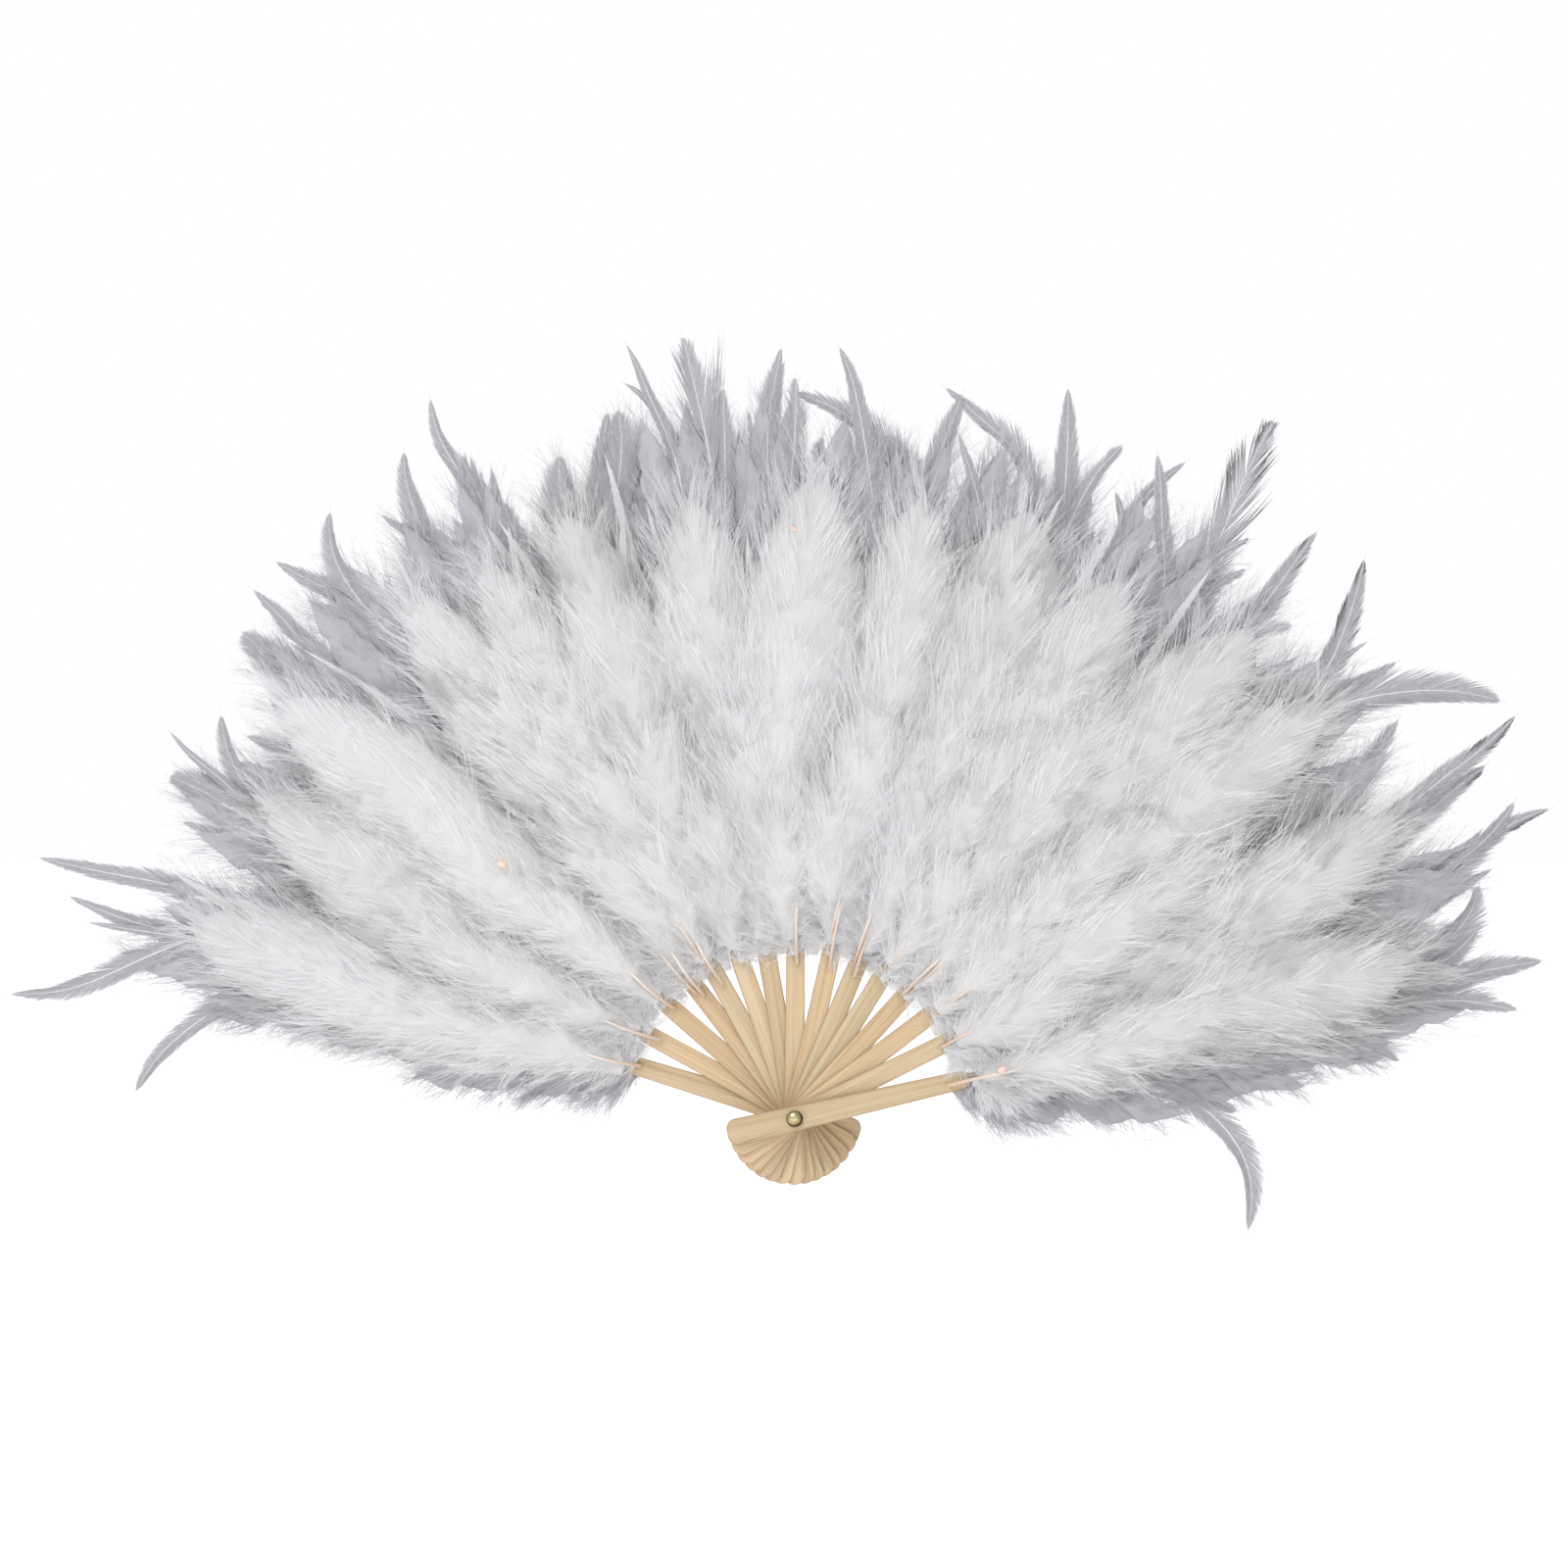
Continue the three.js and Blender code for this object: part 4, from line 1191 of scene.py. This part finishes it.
class FAN_OT_grow_plumes(Operator):
    """Grow the marabou down on every stave"""

    bl_idname = "fan.grow_plumes"
    bl_label = "Grow the plumes"

    def execute(self, context):
        look, vanes = context.scene.fan_plumes, context.scene.fan_hackles
        materials = [
            down_material(look, "marabou_down", look.colour),
            quill_material("quill_horn", look.quill_colour, (0.85, 0.76, 0.7)),
            quill_material("quill_end", look.quill_end_colour, (0.88, 0.66, 0.55)),
            vane_material(vanes, "white_vane", look.wisp_colour),
        ]
        for stave in FAN:
            pile = Pile()
            self.plume(pile, stave, look)
            self.wisps(pile, stave, vanes)
            if stave is not FAN[-1]:
                self.lining(pile, stave, look)
            piece = pile.build(f"marabou_down_{stave.number + 1:02d}", materials, stave)
            set_on(stave, piece, stave.node("marabou_plume"))
            anchor = stave.world(np.array([stave.rib_reach, 0, stave.front]))
            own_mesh(piece)
        return {"FINISHED"}

    def lining(self, pile, stave, look):
        """Short shaded down behind the ribs, in the bay to the next stave."""
        rng = np.random.default_rng(LINING_SEED + stave.number)
        half = half_bay(stave, -1, 0)
        base = rng.uniform(46.5, 49) * MM
        path = feather_path(
            base, LINING_REACH, lean=-half, offset=-base * math.tan(half), bow=rng.normal(0, 0.6 * MM),
            depth=stave.back + 0.2 * MM, arch=0,
        )
        down = Plumage(
            path, half_width=60 * half * MM, crown=0.5 * MM, keel=0.5 * MM, barbs=900, length=8 * MM,
            open_angle=2.5, close_angle=0.6, tone=0.56, fade=-0.1, behind=0.5, clump=0.2, barbules=3,
        )
        grow_feather(pile, rng, down, look)

    def wisps(self, pile, stave, vanes):
        """Slender white feathers that lie over the plume and stand a little past it."""
        rng = np.random.default_rng(WISP_SEED + stave.number)
        for _ in range(4):
            base, tip = rng.uniform(96, 120) * MM, rng.uniform(158, 203) * MM
            turn = aimed(base, tip, rng.uniform(-0.09, 0.09))
            depth = stave.front + rng.uniform(7, 9) * MM
            bow = rng.normal(0, 4 * MM)
            path = feather_path(base, tip, turn, 0, bow, depth, arch=-4 * MM, points=48)
            wisp = Hackle((), rng.uniform(1.8, 3.4), blunt=0.1, ragged=0.5)
            grow_hackle(pile, rng, path, wisp, vanes, slots=(3, 3, 3))

    def plume(self, pile, stave, look):
        """The long plume, two shorter ones before it, a foot of short down, and a backing."""
        rng = np.random.default_rng(PLUME_SEED + stave.number)
        reach, face = stave.plume_reach, stave.front
        left, right = half_bay(stave, 1, PLUME_OUTER), half_bay(stave, -1, PLUME_OUTER)
        outer = OUTER_SIDE.get(stave.number, 0)
        lean = (left - right) * 0.4 - 0.035 * outer
        girth = 16 if outer else 19

        def path(base, tip, spread, depth, arch):
            tilt = lean + rng.normal(0, spread)
            offset, bow = rng.normal(0, 0.6 * MM), rng.normal(0, 3 * MM)
            return feather_path(base * MM, tip, tilt, offset, bow, depth, arch * MM)

        bare = 4 if stave is FAN[-1] else 0
        tip = reach - rng.uniform(-9, 5) * MM
        long = path(54 + bare, tip, spread=0.025, depth=face + 1.8 * MM, arch=3.5)
        tip = rng.uniform(134, 164) * MM
        middle = path(53 + bare, tip, spread=0.05, depth=face + 2.4 * MM, arch=5.5)
        tip = rng.uniform(94, 118) * MM
        short = path(52 + bare, tip, spread=0.07, depth=face + 2.6 * MM, arch=6.5)
        base, tip = bare + rng.uniform(47, 50), rng.uniform(70, 80) * MM
        foot = path(base, tip, spread=0.08, depth=face + 1.2 * MM, arch=2.5)
        tip = reach - rng.uniform(12, 28) * MM
        back = path(103, tip, spread=0.02, depth=stave.back - 1.6 * MM, arch=-1)
        wide = rng.uniform(0.88, 1.16, 3)
        tone = rng.normal(0, 0.05)
        warm = rng.random(3) < (0.4, 0.5, 0.5)
        feathers = [
            Plumage(
                long, half_width=girth * wide[0] * MM, crown=6 * MM, keel=1.5 * MM, barbs=1650,
                length=19 * MM, open_angle=0.8, close_angle=0.42, tone=0.69 + tone, valley_shade=0.6,
                fade=0.25, warm=warm[0], locks=0.34, root=0.3,
            ),
            Plumage(
                middle, half_width=11 * wide[1] * MM, crown=5 * MM, keel=1.5 * MM, barbs=950,
                length=17 * MM, open_angle=0.72, close_angle=0.42, tone=0.73 + tone, valley_shade=0.56,
                fade=0.12, warm=warm[1], locks=0.34, root=0.3,
            ),
            Plumage(
                short, half_width=9.2 * wide[2] * MM, crown=3.2 * MM, keel=1.5 * MM, barbs=650,
                length=13 * MM, open_angle=0.9, close_angle=0.5, tone=0.76 + tone, valley_shade=0.2,
                warm=warm[2], root=0.35,
            ),
            Plumage(
                foot, half_width=4.2 * MM, crown=1 * MM, keel=0.8 * MM, barbs=760, length=9 * MM,
                open_angle=1.7, close_angle=0.7, tone=0.5, clump=0.1,
            ),
            Plumage(
                back, half_width=14 * MM, crown=0.6 * MM, keel=1.6 * MM, barbs=800, length=18 * MM,
                open_angle=0.72, close_angle=0.42, behind=0.85,
            ),
        ]
        for feather in feathers:
            grow_feather(pile, rng, feather, look)
        self.quills(pile, rng, face)
        if stave.number + 1 in QUILL_ENDS:
            self.quill_end(pile, face, *QUILL_ENDS[stave.number + 1])

    def quills(self, pile, rng, face, points=16):
        """One or two bare quills that rise off the stave into the down."""
        for shift in (-0.5, 0.9)[: rng.integers(1, 3)]:
            base = rng.uniform(43, 50)
            quill = feather_path(
                base * MM, (base + rng.uniform(16, 26)) * MM, lean=rng.normal(0, 0.06), offset=shift * MM,
                bow=0.4 * MM, depth=face + 0.8 * MM, arch=rng.uniform(7, 10) * MM, points=points,
            )
            pile.tube(quill, np.linspace(0.54, 0.34, points) * MM, sides=8, slot=1)

    def quill_end(self, pile, face, lean, radius, forward, thick):
        """A cut quill end: a short rounded stub, a little turned off the stave's direction."""
        girth = np.array([0.5, 0.95, 1.05, 1.0, 0.8, 0.3]) * thick * MM
        turn = math.radians(lean) + np.linspace(0, 0.012, len(girth))
        reach = (radius + np.linspace(-1.3, 1.3, len(girth)) * thick) * MM
        depth = np.full(len(girth), face + forward * MM)
        stub = np.stack([reach * np.cos(turn), reach * np.sin(turn), depth], -1)
        pile.tube(stub, girth, sides=8, slot=2)


class FAN_OT_grow_hackles(Operator):
    """Grow the pointed grey feathers behind the plumes"""

    bl_idname = "fan.grow_hackles"
    bl_label = "Grow the hackles"

    def execute(self, context):
        look = context.scene.fan_hackles
        down = context.scene.fan_plumes
        materials = [
            vane_material(look, "hackle_vane", look.colour),
            vane_material(look, "hackle_vane_sooty", look.colour, soot=True),
            shaft_material(look),
            down_material(down, "hackle_down", look.down_colour),
        ]
        for stave, rows in zip(FAN, HACKLES):
            pile = Pile()
            self.spray(pile, stave, rows, look)
            self.fringe(pile, stave, down)
            piece = pile.build(f"{stave.node('hackle')}_vanes", materials, stave)
            set_on(stave, piece, stave.node("hackle_feathers"))
            self.flatten(piece, stave)
        pile = Pile()
        self.spray(pile, FAN[-1], DROOPING, look)
        droop = pile.build("drooping_hackle_vanes", materials, FAN[-1])
        set_on(FAN[-1], droop, "drooping_feather")
        self.flatten(droop, FAN[-1])
        return {"FINISHED"}

    def spray(self, pile, stave, rows, look):
        """The hackles of one stave."""
        rng = np.random.default_rng(SPRAY_SEED + stave.number)
        for order, hackle in enumerate(rows):
            depth = stave.back + (0.7 + 0.1 * order) * MM
            lift = rng.uniform(-5, 4) * MM
            grow_hackle(pile, rng, hackle_path(stave, hackle, depth, lift), hackle, look)

    def fringe(self, pile, stave, down):
        """Loose grey down between the hackles, showing past the white plumes."""
        rng = np.random.default_rng(FRINGE_SEED + stave.number)
        left, right = half_bay(stave, 1, FRINGE_OUTER), half_bay(stave, -1, FRINGE_OUTER)
        reaches = FRINGE_REACH[stave.number]
        for lean, reach in zip(np.linspace(-right, left, len(reaches)), reaches):
            tip = (reach - rng.uniform(2, 6)) * MM
            path = feather_path(
                FRINGE_BASE, tip, aimed(FRINGE_BASE, tip, lean), offset=0, bow=rng.normal(0, 3 * MM),
                depth=stave.back + 1 * MM, arch=rng.uniform(-3, 2) * MM,
            )
            feather = Plumage(
                path, half_width=6.5 * MM, crown=0.4 * MM, keel=0.4 * MM, barbs=360, length=15 * MM,
                open_angle=0.6, close_angle=0.4, slot=3, tone=0.54, behind=0.5, barbules=2, strays=0.01,
            )
            grow_feather(pile, rng, feather, down)
        for lean, reach in HEMS.get(stave.number, ()):
            base, tip = max(HEM_BASE, reach - HEM_LENGTH) * MM, (reach - 3) * MM
            turn = aimed(base, tip, OUTER_SIDE[stave.number] * math.radians(lean))
            path = feather_path(base, tip, turn, 0, rng.normal(0, 2 * MM), stave.back, arch=1 * MM)
            hem = Plumage(
                path, half_width=5 * MM, crown=0.6 * MM, keel=0.6 * MM, barbs=340, length=11 * MM,
                open_angle=0.8, close_angle=0.6, slot=3, tone=0.45, behind=0.5, clump=1.4, barbules=3,
            )
            grow_feather(pile, rng, hem, down)

    def flatten(self, piece, stave):
        """Gives the piece a mesh of its own."""
        anchor = stave.world(np.array([stave.rib_reach, 0, stave.back]))
        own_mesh(piece)


class FAN_OT_set_stage(Operator):
    """Lay the floor, hang the light and set the camera"""

    bl_idname = "fan.set_stage"
    bl_label = "Set the stage"

    def execute(self, context):
        look = context.scene.fan_stage
        self.floor(look)
        self.light(context, look)
        self.camera(context, look)
        return {"FINISHED"}

    def floor(self, look):
        """A pale floor just below the lowest feather."""
        material, shader = plain_material("pale_floor")
        ground = material.node_tree.nodes.new("ShaderNodeTexCoord").outputs["Object"]
        colour = ramp(material, noise(material, ground, 3), [(0.3, grey(0.93)), (0.7, grey(0.95))])
        coat(material, shader, colour, roughness=0.9)
        shader.inputs["Emission Color"].default_value = WHITE
        shader.inputs["Emission Strength"].default_value = 0.35
        size, level = look.floor_size / 2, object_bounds()[0][2] - look.floor_drop
        corners = [(-size, -size, level), (size, -size, level), (size, size, level), (-size, size, level)]
        mesh = bpy.data.meshes.new("floor")
        mesh.from_pydata(corners, [], [(0, 1, 2, 3)])
        mesh.materials.append(material)
        floor = bpy.data.objects.new("floor", mesh)
        bpy.context.scene.collection.objects.link(floor)
        floor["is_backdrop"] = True

    def light(self, context, look):
        """A white surround, dimmer to the fan than to the camera, and a large key light."""
        scene = context.scene
        scene.view_settings.view_transform = "Standard"
        world = bpy.data.worlds.new("white_surround")
        world.use_nodes = True
        nodes, links = nodes_of(world)
        seen, sky = nodes["Background"], nodes.new("ShaderNodeBackground")
        seen.inputs["Color"].default_value = WHITE
        sky.inputs["Color"].default_value = WHITE
        sky.inputs["Strength"].default_value = look.sky
        either = nodes.new("ShaderNodeMixShader")
        links.new(nodes.new("ShaderNodeLightPath").outputs["Is Camera Ray"], either.inputs["Fac"])
        links.new(sky.outputs["Background"], either.inputs[1])
        links.new(seen.outputs["Background"], either.inputs[2])
        links.new(either.outputs["Shader"], nodes["World Output"].inputs["Surface"])
        scene.world = world
        lamp = bpy.data.lights.new("key", "AREA")
        lamp.energy = look.key
        lamp.size = KEY_SIZE
        key = bpy.data.objects.new("key", lamp)
        scene.collection.objects.link(key)
        key.location = KEY_PLACE
        x, y, z = np.subtract(KEY_PLACE, KEY_AIM)
        key.rotation_euler = (math.atan2(math.hypot(x, y), z), 0, math.atan2(y, x) + math.pi / 2)

    def camera(self, context, look):
        """A level camera before the fan, as far off as its field asks."""
        lens = bpy.data.cameras.new("photo_view")
        lens.lens = look.lens
        lens.sensor_width = SENSOR_WIDTH
        distance = look.field * look.lens / SENSOR_WIDTH
        camera = bpy.data.objects.new("photo_view", lens)
        middle = (CAD_BOX[0][1] + CAD_BOX[1][1]) / 2
        camera.location = (look.aim_x, middle - distance, look.aim_z)
        camera.rotation_euler = (math.pi / 2, 0, 0)
        context.scene.collection.objects.link(camera)
        context.scene.camera = camera


OPERATORS = (
    FAN_OT_plane_staves, FAN_OT_set_rivet, FAN_OT_tie_ribbon, FAN_OT_grow_plumes, FAN_OT_grow_hackles,
    FAN_OT_set_stage,
)


class FAN_PT_finish(Panel):
    """The steps that finish the fan, in order"""

    bl_label = "Feather fan"
    bl_idname = "FAN_PT_finish"
    bl_space_type = "VIEW_3D"
    bl_region_type = "UI"
    bl_category = "Fan"

    def draw(self, context):
        for step in OPERATORS:
            self.layout.operator(step.bl_idname)


SETTINGS = {
    "fan_staves": FanStaveSettings,
    "fan_plumes": FanPlumeSettings,
    "fan_hackles": FanHackleSettings,
    "fan_stage": FanStageSettings,
}


def register():
    for kind in (*SETTINGS.values(), *OPERATORS, FAN_PT_finish):
        bpy.utils.register_class(kind)
    for name, kind in SETTINGS.items():
        setattr(bpy.types.Scene, name, PointerProperty(type=kind))


def unregister():
    for name in SETTINGS:
        delattr(bpy.types.Scene, name)
    for kind in (FAN_PT_finish, *reversed(OPERATORS), *SETTINGS.values()):
        bpy.utils.unregister_class(kind)


def main():
    register()
    bpy.ops.fan.plane_staves()
    bpy.ops.fan.set_rivet()
    bpy.ops.fan.tie_ribbon()
    bpy.ops.fan.grow_plumes()
    bpy.ops.fan.grow_hackles()
    bpy.ops.fan.set_stage()


if __name__ == "__main__":
    main()
